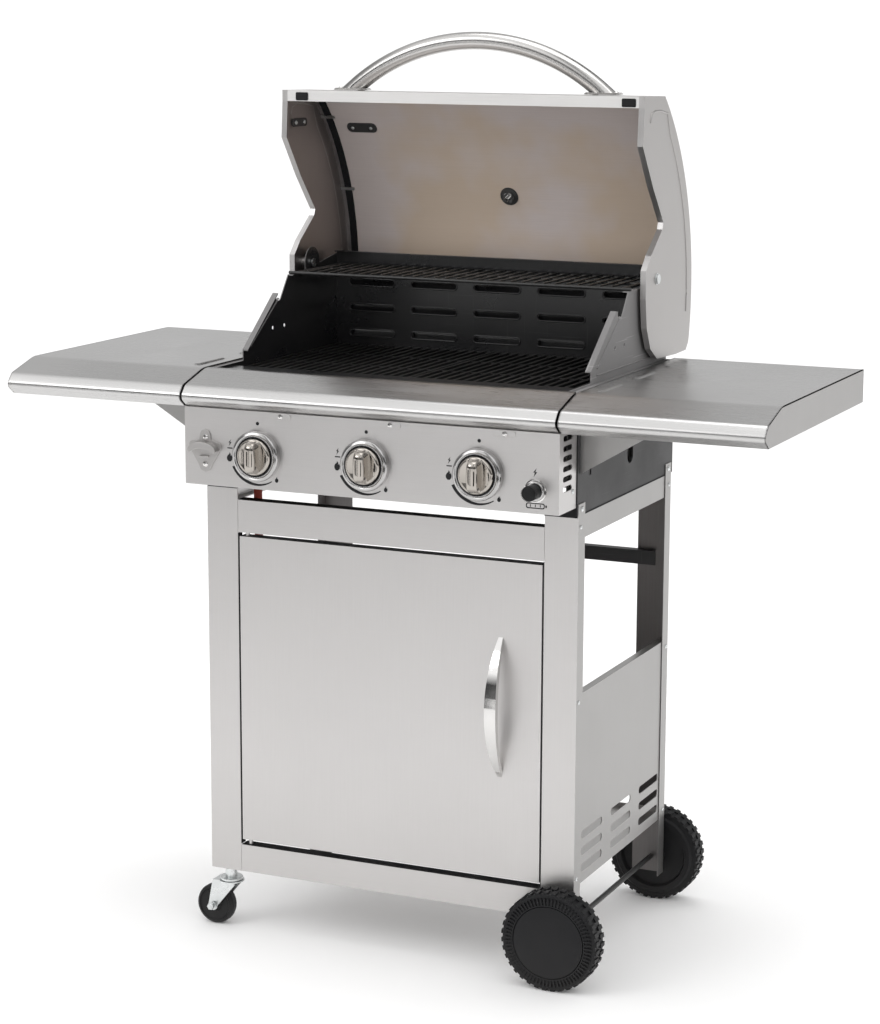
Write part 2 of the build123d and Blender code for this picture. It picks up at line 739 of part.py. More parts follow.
stem_back = manifold_y - 10.0
knob_back = panel_front - knob_travel - seam
stem_front = panel_front - knob_reach + 8.0
for number, x in enumerate(knob_xs, start=1):
    with BuildPart() as valve_stem:
        rod_y(x, stem_back, stem_front, knob_z, stem_radius)
    save(valve_stem.part, f"valve_stem_{number}")

    with BuildPart() as knob:
        grip_front = panel_front - knob_reach
        skirt_front = knob_back - knob_skirt
        rod_y(x, knob_back, skirt_front, knob_z, knob_radius)
        fillet(knob.faces().sort_by(Axis.Y)[0].edges(), 5.0)
        with BuildSketch(Plane.XZ.offset(-skirt_front)):
            with Locations((x, knob_z)):
                Circle(knob_radius - 2.5)
            with Locations((x, knob_z)):
                Rectangle(knob_grip_width, 2 * knob_radius, mode=Mode.INTERSECT)
        extrude(amount=skirt_front - grip_front)
        socket = stem_radius + running_fit
        rod_y(x, knob_back + 1, stem_front - running_fit, knob_z, socket, Mode.SUBTRACT)
    save(knob.part, f"knob_{number}")

with BuildPart() as igniter_button:
    button_front = panel_front - button_reach
    rod_y(button_x, button_front, panel_front + 8.0, button_z, button_radius)
    fillet(igniter_button.faces().sort_by(Axis.Y)[0].edges(), 3.0)
save(igniter_button.part, "igniter_button")

with BuildPart() as igniter_body:
    case_back = panel_front + 58.0
    rod_y(button_x, panel_front + sheet, case_back, button_z, collar_radius)
    rod_y(button_x, panel_front, case_back - 3.0, button_z, button_radius + 0.4, Mode.SUBTRACT)
save(igniter_body.part, "igniter_body")

with BuildPart() as bottle_opener:
    opener_z = top - opener_z_drop
    plate = 2.0
    face = Plane.XZ.offset(-panel_front)
    with BuildSketch(face):
        with Locations((opener_x, opener_z)):
            RectangleRounded(26.0, 64.0, 10.0)
        with Locations((opener_x, opener_z + 6.0)):
            RectangleRounded(56.0, 22.0, 5.0)
    extrude(amount=plate)
    # The mouth: a hooded lip above the lower screw.
    with BuildSketch(face.offset(plate)):
        with Locations((opener_x, opener_z + 6.0)):
            RectangleRounded(50.0, 16.0, 4.0)
    extrude(amount=14.0, taper=12)
    with BuildSketch(face.offset(plate)):
        with Locations((opener_x, opener_z - 4.0)):
            Circle(13.0)
    extrude(amount=8.0, mode=Mode.SUBTRACT)
    for dz in (25.0, -22.0):
        rod_y(opener_x, panel_front - plate, panel_front - plate - 2.5, opener_z + dz, 4.5)
save(bottle_opener.part, "bottle_opener")


# ---------------------------------------------------------------- gas train
manifold_z = top - manifold_z_drop
with BuildPart() as gas_manifold:
    rod_x(hose_x - 14.0, knob_pitch + 24.0, manifold_y, manifold_z, manifold_radius)
    valve_front = panel_front + sheet
    for x in knob_xs:
        half = valve_width / 2
        slab(x - half, x + half, valve_front, manifold_y + 4.0, knob_z - half, knob_z + half)
        slab(x - 8, x + 8, manifold_y - 8.0, manifold_y + 4.0, manifold_z, knob_z)
        rod_y(x, manifold_y + 3.0, bowl_front - 30.0, knob_z, 6.0)
        stem_bore = stem_radius + running_fit
        rod_y(x, valve_front - 1.0, stem_back + knob_travel + 2.0, knob_z, stem_bore, Mode.SUBTRACT)
    rod_y(hose_x, manifold_y, hose_y, manifold_z, manifold_radius - 1.0)
    elbow = manifold_radius + 1.0
    with Locations((hose_x, hose_y, manifold_z)):
        Box(2 * elbow, 2 * elbow, 2 * elbow)
    rod_z(hose_x, hose_y, hose_exit_z, manifold_z - elbow, manifold_radius)
save(gas_manifold.part, "gas_manifold")

burner_front = bowl_front - 36.0
burner_back = bowl_back - sheet
with BuildPart() as burners:
    for x in knob_xs:
        rod_y(x, burner_front, burner_back, knob_z, burner_radius)
        rod_y(x, burner_front - 1, burner_back - 3, knob_z, burner_radius - sheet, Mode.SUBTRACT)
    with Locations((0, 35.0, knob_z)):
        with GridLocations(knob_pitch, 22.0, 3, 12):
            Box(4 * burner_radius, 2.0, 3.0, mode=Mode.SUBTRACT)
save(burners.part, "burners")

tamer_half = 62.0
tamer_foot_z = grate_bottom - 62.0
tamer_peak_z = tamer_foot_z + 36.0
with BuildPart() as flame_tamers:
    tamer_front = bowl_front + sheet
    for x in knob_xs:
        with BuildSketch(Plane.XZ.offset(-tamer_front)):
            with BuildLine():
                Polyline(
                    (x - tamer_half, tamer_foot_z), (x, tamer_peak_z), (x + tamer_half, tamer_foot_z),
                    (x + tamer_half, tamer_foot_z - 1.8), (x, tamer_peak_z - 1.8),
                    (x - tamer_half, tamer_foot_z - 1.8), (x - tamer_half, tamer_foot_z),
                )
            make_face()
        extrude(amount=-(bowl_back - sheet - tamer_front))
save(flame_tamers.part, "flame_tamers")

hose_route = [
    (hose_x, hose_y, hose_exit_z), (-232, -165, 610), (-229, -155, 480), (-225, -141, 345),
    (-222, -128, 222), (-214, -74, 156.5), (-190, 40, 156.5), (-144, 112, 160.5),
]


def hose_radii(route):
    """The bend radius at each inner point, as large as its two runs allow."""
    radii = []
    for before, here, after in zip(route, route[1:], route[2:]):
        run_in = Vector(*here) - Vector(*before)
        run_out = Vector(*after) - Vector(*here)
        turn = math.radians(run_in.get_angle(run_out))
        radii.append(0.45 * min(run_in.length, run_out.length) / math.tan(turn / 2))
    return radii


with BuildPart() as gas_hose:
    with BuildLine() as hose_path:
        FilletPolyline(*hose_route, radius=hose_radii(hose_route))
    with BuildSketch(Plane(origin=hose_path.line @ 0, z_dir=hose_path.line % 0)):
        Circle(hose_radius)
    sweep()
save(gas_hose.part, "gas_hose")
hose_length = hose_path.wires()[0].length
print("hose radii", [round(r) for r in hose_radii(hose_route)], "length", round(hose_length))
print("hose volume ratio", round(gas_hose.part.volume / (math.pi * hose_radius**2 * hose_length), 4))

with BuildPart() as regulator:
    end = Vector(*hose_route[-1])
    heading = (end - Vector(*hose_route[-2])).normalized()
    tail = Plane(origin=end, z_dir=heading)
    with BuildSketch(tail):
        Circle(hose_radius + 2.5)
    extrude(amount=26.0)
    body_centre = end + heading * 50.0
    shelf_top = base_shelf_z + sheet
    rod_z(body_centre.X, body_centre.Y, shelf_top, shelf_top + 22.0, 30.0)
    rod_z(body_centre.X, body_centre.Y, shelf_top + 22.0, shelf_top + 30.0, 18.0)
    nut = Plane(origin=body_centre, z_dir=heading)
    with BuildSketch(nut):
        RegularPolygon(8.5, 6)
    extrude(amount=36.0)
save(regulator.part, "regulator")


# ---------------------------------------------------------------- cooking surfaces
grate_front = bowl_front + 2 * sheet
grate_back = bowl_back - 2 * sheet
for side_name, side in SIDES.items():
    with BuildPart() as grate:
        near = side * 1.5
        far = side * (bowl_inner - 3.0)
        middle_x = (near + far) / 2
        span = abs(far - near)
        middle_y = (grate_front + grate_back) / 2
        with Locations((middle_x, middle_y, grate_top - grate_height / 2)):
            with GridLocations((span - grate_bar) / (grate_bars - 1), 1, grate_bars, 1):
                Box(grate_bar, grate_back - grate_front, grate_height)
            with GridLocations(1, (grate_back - grate_front - grate_bar) / 3, 1, 4):
                Box(span, grate_bar, grate_height - 2.0)
    save(grate.part, f"grate_{side_name}")

rack_half = 272.0
rack_front = 46.0
rack_back = 200.0
rack_z = top + bowl_rim_rise + rack_wire
with BuildPart() as warming_rack:
    for y in (rack_front, (rack_front + rack_back) / 2, rack_back):
        reach = bowl_half + 1.0 if y == rack_front else rack_half
        rod_x(-reach, reach, y, rack_z, rack_wire)
    for side in (-1, 1):
        rod_y(side * rack_half, rack_front, rack_back, rack_z, rack_wire)
        rod_y(side * (rack_half - 60.0), rack_back, bowl_back - sheet, rack_z, rack_wire - 0.5)
    pitch = 2 * rack_half / rack_rods
    for index in range(1, rack_rods):
        rod_y(-rack_half + index * pitch, rack_front, rack_back, rack_z + rack_wire, 1.6)
save(warming_rack.part, "warming_rack")


# ---------------------------------------------------------------- lid
lid_curve = (lid_curve_y, top + lid_curve_rise)


def curve_y(z):
    """Depth of the lid's outer curve at a height."""
    return lid_curve[0] + math.sqrt(lid_back_radius**2 - (z - lid_curve[1]) ** 2)


lid_foot = top + 5.0
corner_y = curve_y(lid_top - 2.0)
low_curve_z = top + 28.0
low_curve = (curve_y(low_curve_z), low_curve_z)
mid_z = (lid_top + low_curve_z) / 2


def lid_outline():
    """The closed outline of an end cap: level top, long back curve, stepped front edge."""
    Line((lid_front_y, lid_top), (corner_y, lid_top - 2.0))
    ThreePointArc((corner_y, lid_top - 2.0), (curve_y(mid_z), mid_z), low_curve)
    Polyline(
        low_curve, (low_curve[0] - 3.0, lid_foot + 12.0), (low_curve[0] - 14.0, lid_foot + 1.0),
        (214.0, lid_foot), (128.0, lid_foot + 3.0), (98.0, lid_foot + 21.0), (80.0, lid_foot + 54.0),
        (73.0, lid_foot + 98.0), (73.0, lid_foot + 141.0), (93.0, lid_foot + 162.0),
        (142.0, lid_foot + 198.0), (146.0, lid_foot + 208.0), (96.0, lid_foot + 264.0),
        (49.0, lid_foot + 326.0), (lid_front_y, lid_top - lid_lip_height), (lid_front_y, lid_top),
    )


for side_name, side in SIDES.items():
    outer = side * cap_outer
    with BuildPart() as cap:
        with BuildSketch(Plane.YZ.offset(outer)):
            with BuildLine():
                lid_outline()
            make_face()
        extrude(amount=-side * cap_rim)
        with BuildSketch(Plane.YZ.offset(side * (cap_outer - sheet))):
            with BuildLine():
                lid_outline()
            make_face()
            offset(amount=-sheet)
        extrude(amount=-side * cap_rim, mode=Mode.SUBTRACT)
        bolt_bore = hinge_bolt_radius + running_fit
        rod_x(outer + side, outer - side * cap_rim, hinge_y, hinge_z, bolt_bore, Mode.SUBTRACT)
    save(cap.part, f"lid_cap_{side_name}")

tilt = math.radians(thermometer_angle)
dial_normal = Vector(0, math.cos(tilt), math.sin(tilt))
dial = Plane(origin=Vector(0, *lid_curve) + dial_normal * lid_back_radius, z_dir=dial_normal)
probe_radius = 4.0

with BuildPart() as lid_skin:
    with BuildSketch(Plane.YZ.offset(-cap_inner)):
        with BuildLine():
            Line((lid_front_y, lid_top), (corner_y, lid_top - 2.0))
            ThreePointArc((corner_y, lid_top - 2.0), (curve_y(mid_z), mid_z), low_curve)
            heel = (low_curve[0] - 3.0, lid_foot + 12.0)
            sole = (low_curve[0] - 14.0, lid_foot + 1.0)
            toe_y = 232.0
            Polyline(
                low_curve, heel, sole, (toe_y, lid_foot), (toe_y, lid_foot + sheet),
                (sole[0] - 0.5, sole[1] + sheet), (heel[0] - sheet, heel[1] + 0.5),
                (low_curve[0] - sheet, low_curve_z),
            )
            inner_corner = (corner_y - 1.2, lid_top - 2.0 - sheet)
            inner_start = (low_curve[0] - sheet, low_curve_z)
            ThreePointArc(inner_start, (curve_y(mid_z) - sheet, mid_z), inner_corner)
            lip_z = lid_top - sheet
            lip_low = lid_top - lid_lip_height
            Polyline(
                inner_corner, (lid_front_y + sheet, lip_z), (lid_front_y + sheet, lip_low),
                (lid_front_y, lip_low), (lid_front_y, lid_top),
            )
        make_face()
    extrude(amount=2 * cap_inner)
    with BuildSketch(dial.offset(-4 * sheet)):
        Circle(probe_radius + running_fit)
    extrude(amount=8 * sheet, mode=Mode.SUBTRACT)
save(lid_skin.part, "lid_skin")

with BuildPart() as lid_handle:
    rise = lid_handle_rise
    half_span = lid_handle_half_span
    foot_thickness = 3.0
    base_z = lid_top - 0.5
    with BuildLine(Plane.XZ.offset(-lid_handle_y)) as bow:
        start = (-half_span, base_z + foot_thickness)
        ThreePointArc(start, (0, base_z + foot_thickness + rise), (half_span, base_z + foot_thickness))
    with BuildSketch(Plane(origin=bow.line @ 0, z_dir=bow.line % 0)):
        Circle(lid_handle_radius)
        Circle(lid_handle_radius - 1.5, mode=Mode.SUBTRACT)
    sweep()
    with Locations((0, lid_handle_y, base_z - 30.0)):
        Box(2 * half_span + 120.0, 80.0, 60.0, mode=Mode.SUBTRACT)
    for side in (-1, 1):
        with BuildSketch(Plane.XY.offset(base_z)):
            with Locations((side * half_span, lid_handle_y - 4.0)):
                SlotOverall(56.0, 30.0)
        extrude(amount=foot_thickness)
save(lid_handle.part, "lid_handle")

with BuildPart() as thermometer:
    with BuildSketch(dial.offset(0.1)):
        Circle(33.0)
    extrude(amount=14.0)
    fillet(thermometer.faces().sort_by(Axis.Y)[-1].edges(), 3.0)
    with BuildSketch(dial.offset(-16.0)):
        Circle(probe_radius)
    extrude(amount=20.0)
    with BuildSketch(dial.offset(-sheet - 8.2)):
        RegularPolygon(9.0, 6)
    extrude(amount=8.0)
save(thermometer.part, "thermometer")

with BuildPart() as lid_bolts:
    for side in (-1, 1):
        rod_x(side * (bowl_inner - 4.0), side * (cap_outer + 2.0), hinge_y, hinge_z, hinge_bolt_radius)
        rod_x(side * cap_outer, side * (cap_outer + 3.5), hinge_y, hinge_z, hinge_bolt_radius + 3.5)
        spacer = hinge_bolt_radius + 4.0
        nut = hinge_bolt_radius + 3.0
        rod_x(side * (bowl_half + 0.3), side * (cap_outer - sheet), hinge_y, hinge_z, spacer)
        rod_x(side * (bowl_inner - 1.0), side * (bowl_inner - 4.0), hinge_y, hinge_z, nut)
save(lid_bolts.part, "lid_hinge_bolts")
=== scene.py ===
"""Looks of a three-burner gas barbecue grill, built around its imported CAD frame."""

import math

import bmesh
import bpy
from mathutils import Matrix, Vector


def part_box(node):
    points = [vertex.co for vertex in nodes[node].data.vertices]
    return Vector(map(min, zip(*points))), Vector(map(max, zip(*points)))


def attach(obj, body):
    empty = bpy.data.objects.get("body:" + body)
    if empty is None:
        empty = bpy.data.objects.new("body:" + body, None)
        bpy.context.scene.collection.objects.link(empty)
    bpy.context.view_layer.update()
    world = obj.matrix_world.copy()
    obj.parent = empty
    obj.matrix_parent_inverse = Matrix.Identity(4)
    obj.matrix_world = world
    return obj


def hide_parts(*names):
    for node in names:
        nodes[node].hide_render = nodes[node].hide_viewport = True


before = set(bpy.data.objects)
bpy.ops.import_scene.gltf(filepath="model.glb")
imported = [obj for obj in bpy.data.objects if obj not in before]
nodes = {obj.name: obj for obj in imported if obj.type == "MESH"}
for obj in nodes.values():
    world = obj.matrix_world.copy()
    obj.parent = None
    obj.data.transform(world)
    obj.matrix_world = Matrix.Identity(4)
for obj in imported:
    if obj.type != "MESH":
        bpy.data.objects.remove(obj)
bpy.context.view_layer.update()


# ------------------------------------------------------------------ shader groups
def new_group(name, inputs, outputs):
    """A shader node group with named sockets; returns the tree and its two end nodes."""
    tree = bpy.data.node_groups.new(name, "ShaderNodeTree")
    for label, kind, default in inputs:
        socket = tree.interface.new_socket(name=label, in_out="INPUT", socket_type=kind)
        socket.default_value = default
    for label, kind in outputs:
        tree.interface.new_socket(name=label, in_out="OUTPUT", socket_type=kind)
    return tree, tree.nodes.new("NodeGroupInput"), tree.nodes.new("NodeGroupOutput")


def connect(tree, node, inputs):
    """Give a node's inputs their values, or the sockets that feed them."""
    for key, value in inputs.items():
        if isinstance(value, bpy.types.NodeSocket):
            tree.links.new(value, node.inputs[key])
        else:
            node.inputs[key].default_value = value


def make_node(tree, kind, inputs, **settings):
    """Add a node with its settings and its inputs."""
    node = tree.nodes.new(kind)
    for key, value in settings.items():
        setattr(node, key, value)
    connect(tree, node, inputs)
    return node


def map_range(tree, value, from_low, from_high, to_low, to_high):
    """Rescale a value between limits."""
    node = make_node(tree, "ShaderNodeMapRange", {0: value, 1: from_low, 2: from_high, 3: to_low, 4: to_high})
    return node.outputs[0]


def math_node(tree, operation, a, b=0.0):
    """One arithmetic step."""
    return make_node(tree, "ShaderNodeMath", {0: a, 1: b}, operation=operation).outputs[0]


def times(tree, a, b):
    """A product."""
    return math_node(tree, "MULTIPLY", a, b)


def plus(tree, a, b):
    """A sum."""
    return math_node(tree, "ADD", a, b)


def noise(tree, place, scale, detail, rough=0.5):
    """The value of a noise texture."""
    values = {"Vector": place, "Scale": scale, "Detail": detail, "Roughness": rough}
    return make_node(tree, "ShaderNodeTexNoise", values).outputs[0]


def build_grain_group():
    """Straight brushed grain: long streaks along one direction, and their height."""
    tree, start, end = new_group(
        "Straight Grain",
        [("Vector", "NodeSocketVector", (0, 0, 0)), ("Stretch", "NodeSocketVector", (30, 30, 2500))],
        [("Streaks", "NodeSocketFloat"), ("Height", "NodeSocketFloat")],
    )
    factors = {0: start.outputs["Vector"], 1: start.outputs["Stretch"]}
    stretched = make_node(tree, "ShaderNodeVectorMath", factors, operation="MULTIPLY").outputs[0]
    broad = noise(tree, stretched, 0.25, 3.0, 0.6)
    fine = noise(tree, stretched, 1.0, 2.0)
    mixed = plus(tree, times(tree, broad, 0.5), times(tree, fine, 0.5))
    tree.links.new(map_range(tree, mixed, 0.32, 0.68, 0.0, 1.0), end.inputs["Streaks"])
    tree.links.new(fine, end.inputs["Height"])
    return tree


def build_cloud_group():
    """Soft uneven patches, as of handling and cleaning."""
    tree, start, end = new_group(
        "Soft Patches",
        [("Vector", "NodeSocketVector", (0, 0, 0)), ("Scale", "NodeSocketFloat", 6.0)],
        [("Patches", "NodeSocketFloat")],
    )
    value = noise(tree, start.outputs["Vector"], start.outputs["Scale"], 4.0, 0.55)
    tree.links.new(map_range(tree, value, 0.35, 0.65, 0.0, 1.0), end.inputs["Patches"])
    return tree


def build_scratch_group():
    """Sparse hairline scratches in two directions."""
    tree, start, end = new_group(
        "Hairline Scratches",
        [("Vector", "NodeSocketVector", (0, 0, 0)), ("Amount", "NodeSocketFloat", 0.5)],
        [("Scratches", "NodeSocketFloat")],
    )
    masks = []
    for turn, stretch in (((0.4, 0.9, 0.3), (8, 8, 420)), ((1.1, 0.2, 1.4), (420, 9, 9))):
        values = {"Vector": start.outputs["Vector"], "Rotation": turn, "Scale": stretch}
        turned = make_node(tree, "ShaderNodeMapping", values).outputs[0]
        masks.append(map_range(tree, noise(tree, turned, 1.0, 1.0), 0.70, 0.74, 0.0, 1.0))
    both = math_node(tree, "MAXIMUM", *masks)
    tree.links.new(times(tree, both, start.outputs["Amount"]), end.inputs["Scratches"])
    return tree


def build_speckle_group():
    """Fine pebbled surface, as of sprayed enamel or moulded plastic."""
    tree, start, end = new_group(
        "Fine Pebble",
        [("Vector", "NodeSocketVector", (0, 0, 0)), ("Scale", "NodeSocketFloat", 900.0)],
        [("Height", "NodeSocketFloat")],
    )
    tree.links.new(noise(tree, start.outputs["Vector"], start.outputs["Scale"], 2.0), end.inputs["Height"])
    return tree


def build_height_fade_group():
    """A mask that rises from 0 at one height to 1 at another, with a broken edge."""
    tree, start, end = new_group(
        "Height Fade",
        [
            ("Vector", "NodeSocketVector", (0, 0, 0)),
            ("Clear At", "NodeSocketFloat", 0.2),
            ("Full At", "NodeSocketFloat", 0.0),
        ],
        [("Mask", "NodeSocketFloat")],
    )
    split = make_node(tree, "ShaderNodeSeparateXYZ", {0: start.outputs["Vector"]})
    uneven = noise(tree, start.outputs["Vector"], 22.0, 4.0)
    wobble = times(tree, math_node(tree, "SUBTRACT", uneven, 0.5), 0.06)
    height = plus(tree, split.outputs[2], wobble)
    mask = map_range(tree, height, start.outputs["Clear At"], start.outputs["Full At"], 0.0, 1.0)
    tree.links.new(mask, end.inputs["Mask"])
    return tree


GRAIN = build_grain_group()
PATCHES = build_cloud_group()
SCRATCHES = build_scratch_group()
PEBBLE = build_speckle_group()
FADE = build_height_fade_group()


# ------------------------------------------------------------------ materials
def use_group(tree, group, *inputs):
    """Place a shader group in a material, with its inputs in order; returns its outputs."""
    return make_node(tree, "ShaderNodeGroup", dict(enumerate(inputs)), node_tree=group).outputs


def new_material(name):
    """An empty material; returns it with its tree, its shader and the object's own coordinates."""
    material = bpy.data.materials.new(name)
    material.use_nodes = True
    tree = material.node_tree
    shader = tree.nodes["Principled BSDF"]
    place = tree.nodes.new("ShaderNodeTexCoord").outputs["Object"]
    return material, tree, shader, place


def blend_colours(tree, mask, low, high):
    """A colour between two, by a mask."""
    mix = make_node(tree, "ShaderNodeMix", {0: mask}, data_type="RGBA")
    for socket, value in ((mix.inputs[6], low), (mix.inputs[7], high)):
        if isinstance(value, bpy.types.NodeSocket):
            tree.links.new(value, socket)
        else:
            socket.default_value = (*value, 1.0)
    return mix.outputs[2]


def uneven_rough(tree, shader, mask, gain, rough):
    """Roughness that rises with a mask."""
    tree.links.new(plus(tree, times(tree, mask, gain), rough), shader.inputs["Roughness"])


def scaled_colour(colour, gain, lift=0.0):
    """A colour scaled, and kept at 1 or below."""
    return [min(1.0, c * gain + lift) for c in colour]


def link_bump(tree, shader, height, strength, distance):
    """Feed a height into the shader's normal."""
    bump = make_node(tree, "ShaderNodeBump", {"Height": height, "Strength": strength, "Distance": distance})
    tree.links.new(bump.outputs[0], shader.inputs["Normal"])


def brushed_steel(name, stretch, bright, dull, rough, grain=0.05, darken_below=None, metal=1.0, stain=None):
    """Brushed stainless sheet. stretch holds the grain's fineness along X, Y and Z."""
    material, tree, shader, place = new_material(name)
    streaks, ridges = use_group(tree, GRAIN, place, stretch)
    clouds = use_group(tree, PATCHES, place, 5.0)[0]
    hairs = use_group(tree, SCRATCHES, place, 0.07)[0]
    tone = plus(tree, times(tree, streaks, 0.6), times(tree, clouds, 0.4))
    colour = blend_colours(tree, tone, dull, bright)
    colour = blend_colours(tree, hairs, colour, scaled_colour(bright, 1.12))
    if stain is not None:
        heat = use_group(tree, PATCHES, place, 3.2)[0]
        colour = blend_colours(tree, map_range(tree, heat, 0.45, 0.85, 0.0, 0.40), colour, stain)
    # Darker and browner towards the bottom.
    if darken_below is not None:
        low_mask = use_group(tree, FADE, place, darken_below, darken_below - 0.25)[0]
        soft_darkening = times(tree, low_mask, 0.12)
        colour = blend_colours(tree, soft_darkening, colour, (0.30, 0.28, 0.25))
    spread = plus(tree, times(tree, streaks, 0.10), times(tree, clouds, 0.07))
    spread = plus(tree, spread, rough)
    connect(tree, shader, {"Base Color": colour, "Roughness": spread, "Metallic": metal, "Anisotropic": 0.35})
    link_bump(tree, shader, ridges, grain, 0.0002)
    return material


def polished(name, colour, rough, smear=0.05):
    """Bright plated metal with faint smears."""
    material, tree, shader, place = new_material(name)
    clouds = use_group(tree, PATCHES, place, 30.0)[0]
    hairs = use_group(tree, SCRATCHES, place, 0.5)[0]
    marks = plus(tree, times(tree, clouds, smear), times(tree, hairs, 0.12))
    tone = blend_colours(tree, clouds, colour, scaled_colour(colour, 0.93))
    connect(tree, shader, {"Base Color": tone, "Roughness": plus(tree, marks, rough), "Metallic": 1.0})
    return material


def enamel(name, colour, worn, rough, pebble=700.0, coat=0.0, bump=0.25):
    """Sprayed or fired enamel with a faint orange-peel surface and worn patches."""
    material, tree, shader, place = new_material(name)
    pebbles = use_group(tree, PEBBLE, place, pebble)[0]
    clouds = use_group(tree, PATCHES, place, 9.0)[0]
    hairs = use_group(tree, SCRATCHES, place, 0.4)[0]
    tone = blend_colours(tree, times(tree, clouds, 0.6), colour, worn)
    tone = blend_colours(tree, hairs, tone, scaled_colour(worn, 1.8, 0.01))
    uneven_rough(tree, shader, clouds, 0.14, rough)
    connect(tree, shader, {"Base Color": tone, "Coat Weight": coat, "Coat Roughness": 0.2})
    link_bump(tree, shader, pebbles, bump, 0.0003)
    return material


def plastic(name, colour, rough, dusty_below=None):
    """Moulded plastic with a fine texture, and dust near the ground."""
    material, tree, shader, place = new_material(name)
    pebbles = use_group(tree, PEBBLE, place, 1100.0)[0]
    clouds = use_group(tree, PATCHES, place, 14.0)[0]
    tone = blend_colours(tree, clouds, colour, scaled_colour(colour, 1.35))
    if dusty_below is not None:
        dust = use_group(tree, FADE, place, dusty_below, -0.02)[0]
        tone = blend_colours(tree, times(tree, dust, 0.04), tone, (0.32, 0.30, 0.27))
    uneven_rough(tree, shader, clouds, 0.12, rough)
    connect(tree, shader, {"Base Color": tone, "Specular IOR Level": 0.22})
    link_bump(tree, shader, pebbles, 0.2, 0.0003)
    return material


def heated_steel(name, cool, hot):
    """Dull steel with a brown and blue heat tint in patches."""
    material, tree, shader, place = new_material(name)
    streaks, ridges = use_group(tree, GRAIN, place, (1500, 40, 1500))
    clouds = use_group(tree, PATCHES, place, 16.0)[0]
    tint = blend_colours(tree, clouds, cool, hot)
    tone = blend_colours(tree, times(tree, streaks, 0.3), tint, (0.5, 0.47, 0.44))
    uneven_rough(tree, shader, clouds, 0.2, 0.38)
    connect(tree, shader, {"Base Color": tone, "Metallic": 1.0})
    link_bump(tree, shader, ridges, 0.2, 0.0002)
    return material


def ribbed_rubber(name, colour):
    """Gas hose rubber with fine moulded ribs round it."""
    material, tree, shader, place = new_material(name)
    values = {"Vector": place, "Scale": 260.0, "Distortion": 0.4}
    ribs = make_node(tree, "ShaderNodeTexWave", values, wave_type="BANDS", bands_direction="Z")
    clouds = use_group(tree, PATCHES, place, 25.0)[0]
    tone = blend_colours(tree, clouds, colour, scaled_colour(colour, 0.6))
    tree.links.new(tone, shader.inputs["Base Color"])
    uneven_rough(tree, shader, clouds, 0.15, 0.45)
    link_bump(tree, shader, ribs.outputs[1], 0.15, 0.0004)
    return material


def cart_steel(name, stretch):
    """The cart's sheet steel, a little darker towards the ground."""
    return brushed_steel(name, stretch, (0.612, 0.598, 0.592), (0.562, 0.549, 0.543), 0.30, darken_below=0.3)


FINE, LONG = 2400, 26
ALONG_X, ALONG_Y, UPRIGHT = (LONG, FINE, FINE), (FINE, LONG, FINE), (FINE, FINE, LONG)
STEEL_ALONG_X = cart_steel("steel_grain_along_x", ALONG_X)
STEEL_ALONG_Z = cart_steel("steel_grain_upright", UPRIGHT)
STEEL_ALONG_Y = cart_steel("steel_grain_along_y", ALONG_Y)
STEEL_TOP = brushed_steel(
    "steel_worktop", ALONG_X, (0.55, 0.545, 0.54), (0.535, 0.53, 0.526), 0.21, grain=0.002,
)
# Painted shade: a darker copy of the cart steel for faces that look to the sides (cart sides, shelf ends,
# shelf gussets).
STEEL_SIDE_SHADE = brushed_steel("steel_side_sheets_painted_shade", UPRIGHT, (0.415, 0.408, 0.402), (0.385, 0.378, 0.372), 0.34)
# Painted shade: a much darker copy of the steel for the rear legs' front faces, which lie in shade.
STEEL_INNER_SHADE = brushed_steel("steel_inner_faces_painted_shade", UPRIGHT, (0.20, 0.19, 0.188), (0.15, 0.143, 0.14), 0.36)
STEEL_LID = brushed_steel("steel_lid", ALONG_X, (0.60, 0.58, 0.565), (0.53, 0.51, 0.495), 0.30, grain=0.08)
LID_INSIDE = brushed_steel(
    "steel_lid_inside", ALONG_X, (0.70, 0.62, 0.59), (0.61, 0.54, 0.52), 0.40,
    grain=0.03, metal=0.15, stain=(0.60, 0.42, 0.20),
)
# Painted light: a lighter, less metallic copy of the lid steel for the lid's front band.
LID_BAND_LIT = brushed_steel("steel_lid_band_painted_light", ALONG_X, (0.80, 0.79, 0.78), (0.72, 0.71, 0.70), 0.34, metal=0.5)
# Painted shade: a darker, slightly warm copy of the steel for the caps' faces inside the lid.
CAP_INSIDE_SHADE = brushed_steel(
    "steel_cap_inside_painted_shade", UPRIGHT, (0.42, 0.385, 0.375), (0.34, 0.31, 0.30), 0.32, grain=0.03,
)
# Painted shade: a darker copy of the steel for the lid's end caps, which face the sides; the bottle opener
# and the caps' beads take it too.
STEEL_CAP_SHADE = brushed_steel("steel_lid_caps_painted_shade", UPRIGHT, (0.50, 0.485, 0.478), (0.44, 0.428, 0.42), 0.34)
STEEL_HANDLE = brushed_steel(
    "steel_handle", ALONG_X, (0.55, 0.54, 0.53), (0.50, 0.49, 0.48), 0.12, grain=0.01,
)
CHROME = polished("chrome_plate", (0.70, 0.69, 0.68), 0.05)
BEZEL = polished("satin_plate", (0.47, 0.463, 0.46), 0.12)
# Painted reflection: a darker, browner copy of the chrome for the knobs, standing in for the dark brown
# reflections on them.
KNOB_CHROME_PAINTED_REFLECTION = polished("knob_plate_painted_reflection", (0.45, 0.42, 0.385), 0.04)
ZINC = polished("zinc_plate", (0.74, 0.76, 0.76), 0.24, smear=0.2)
BRASS = polished("turned_brass", (0.62, 0.47, 0.20), 0.22, smear=0.2)
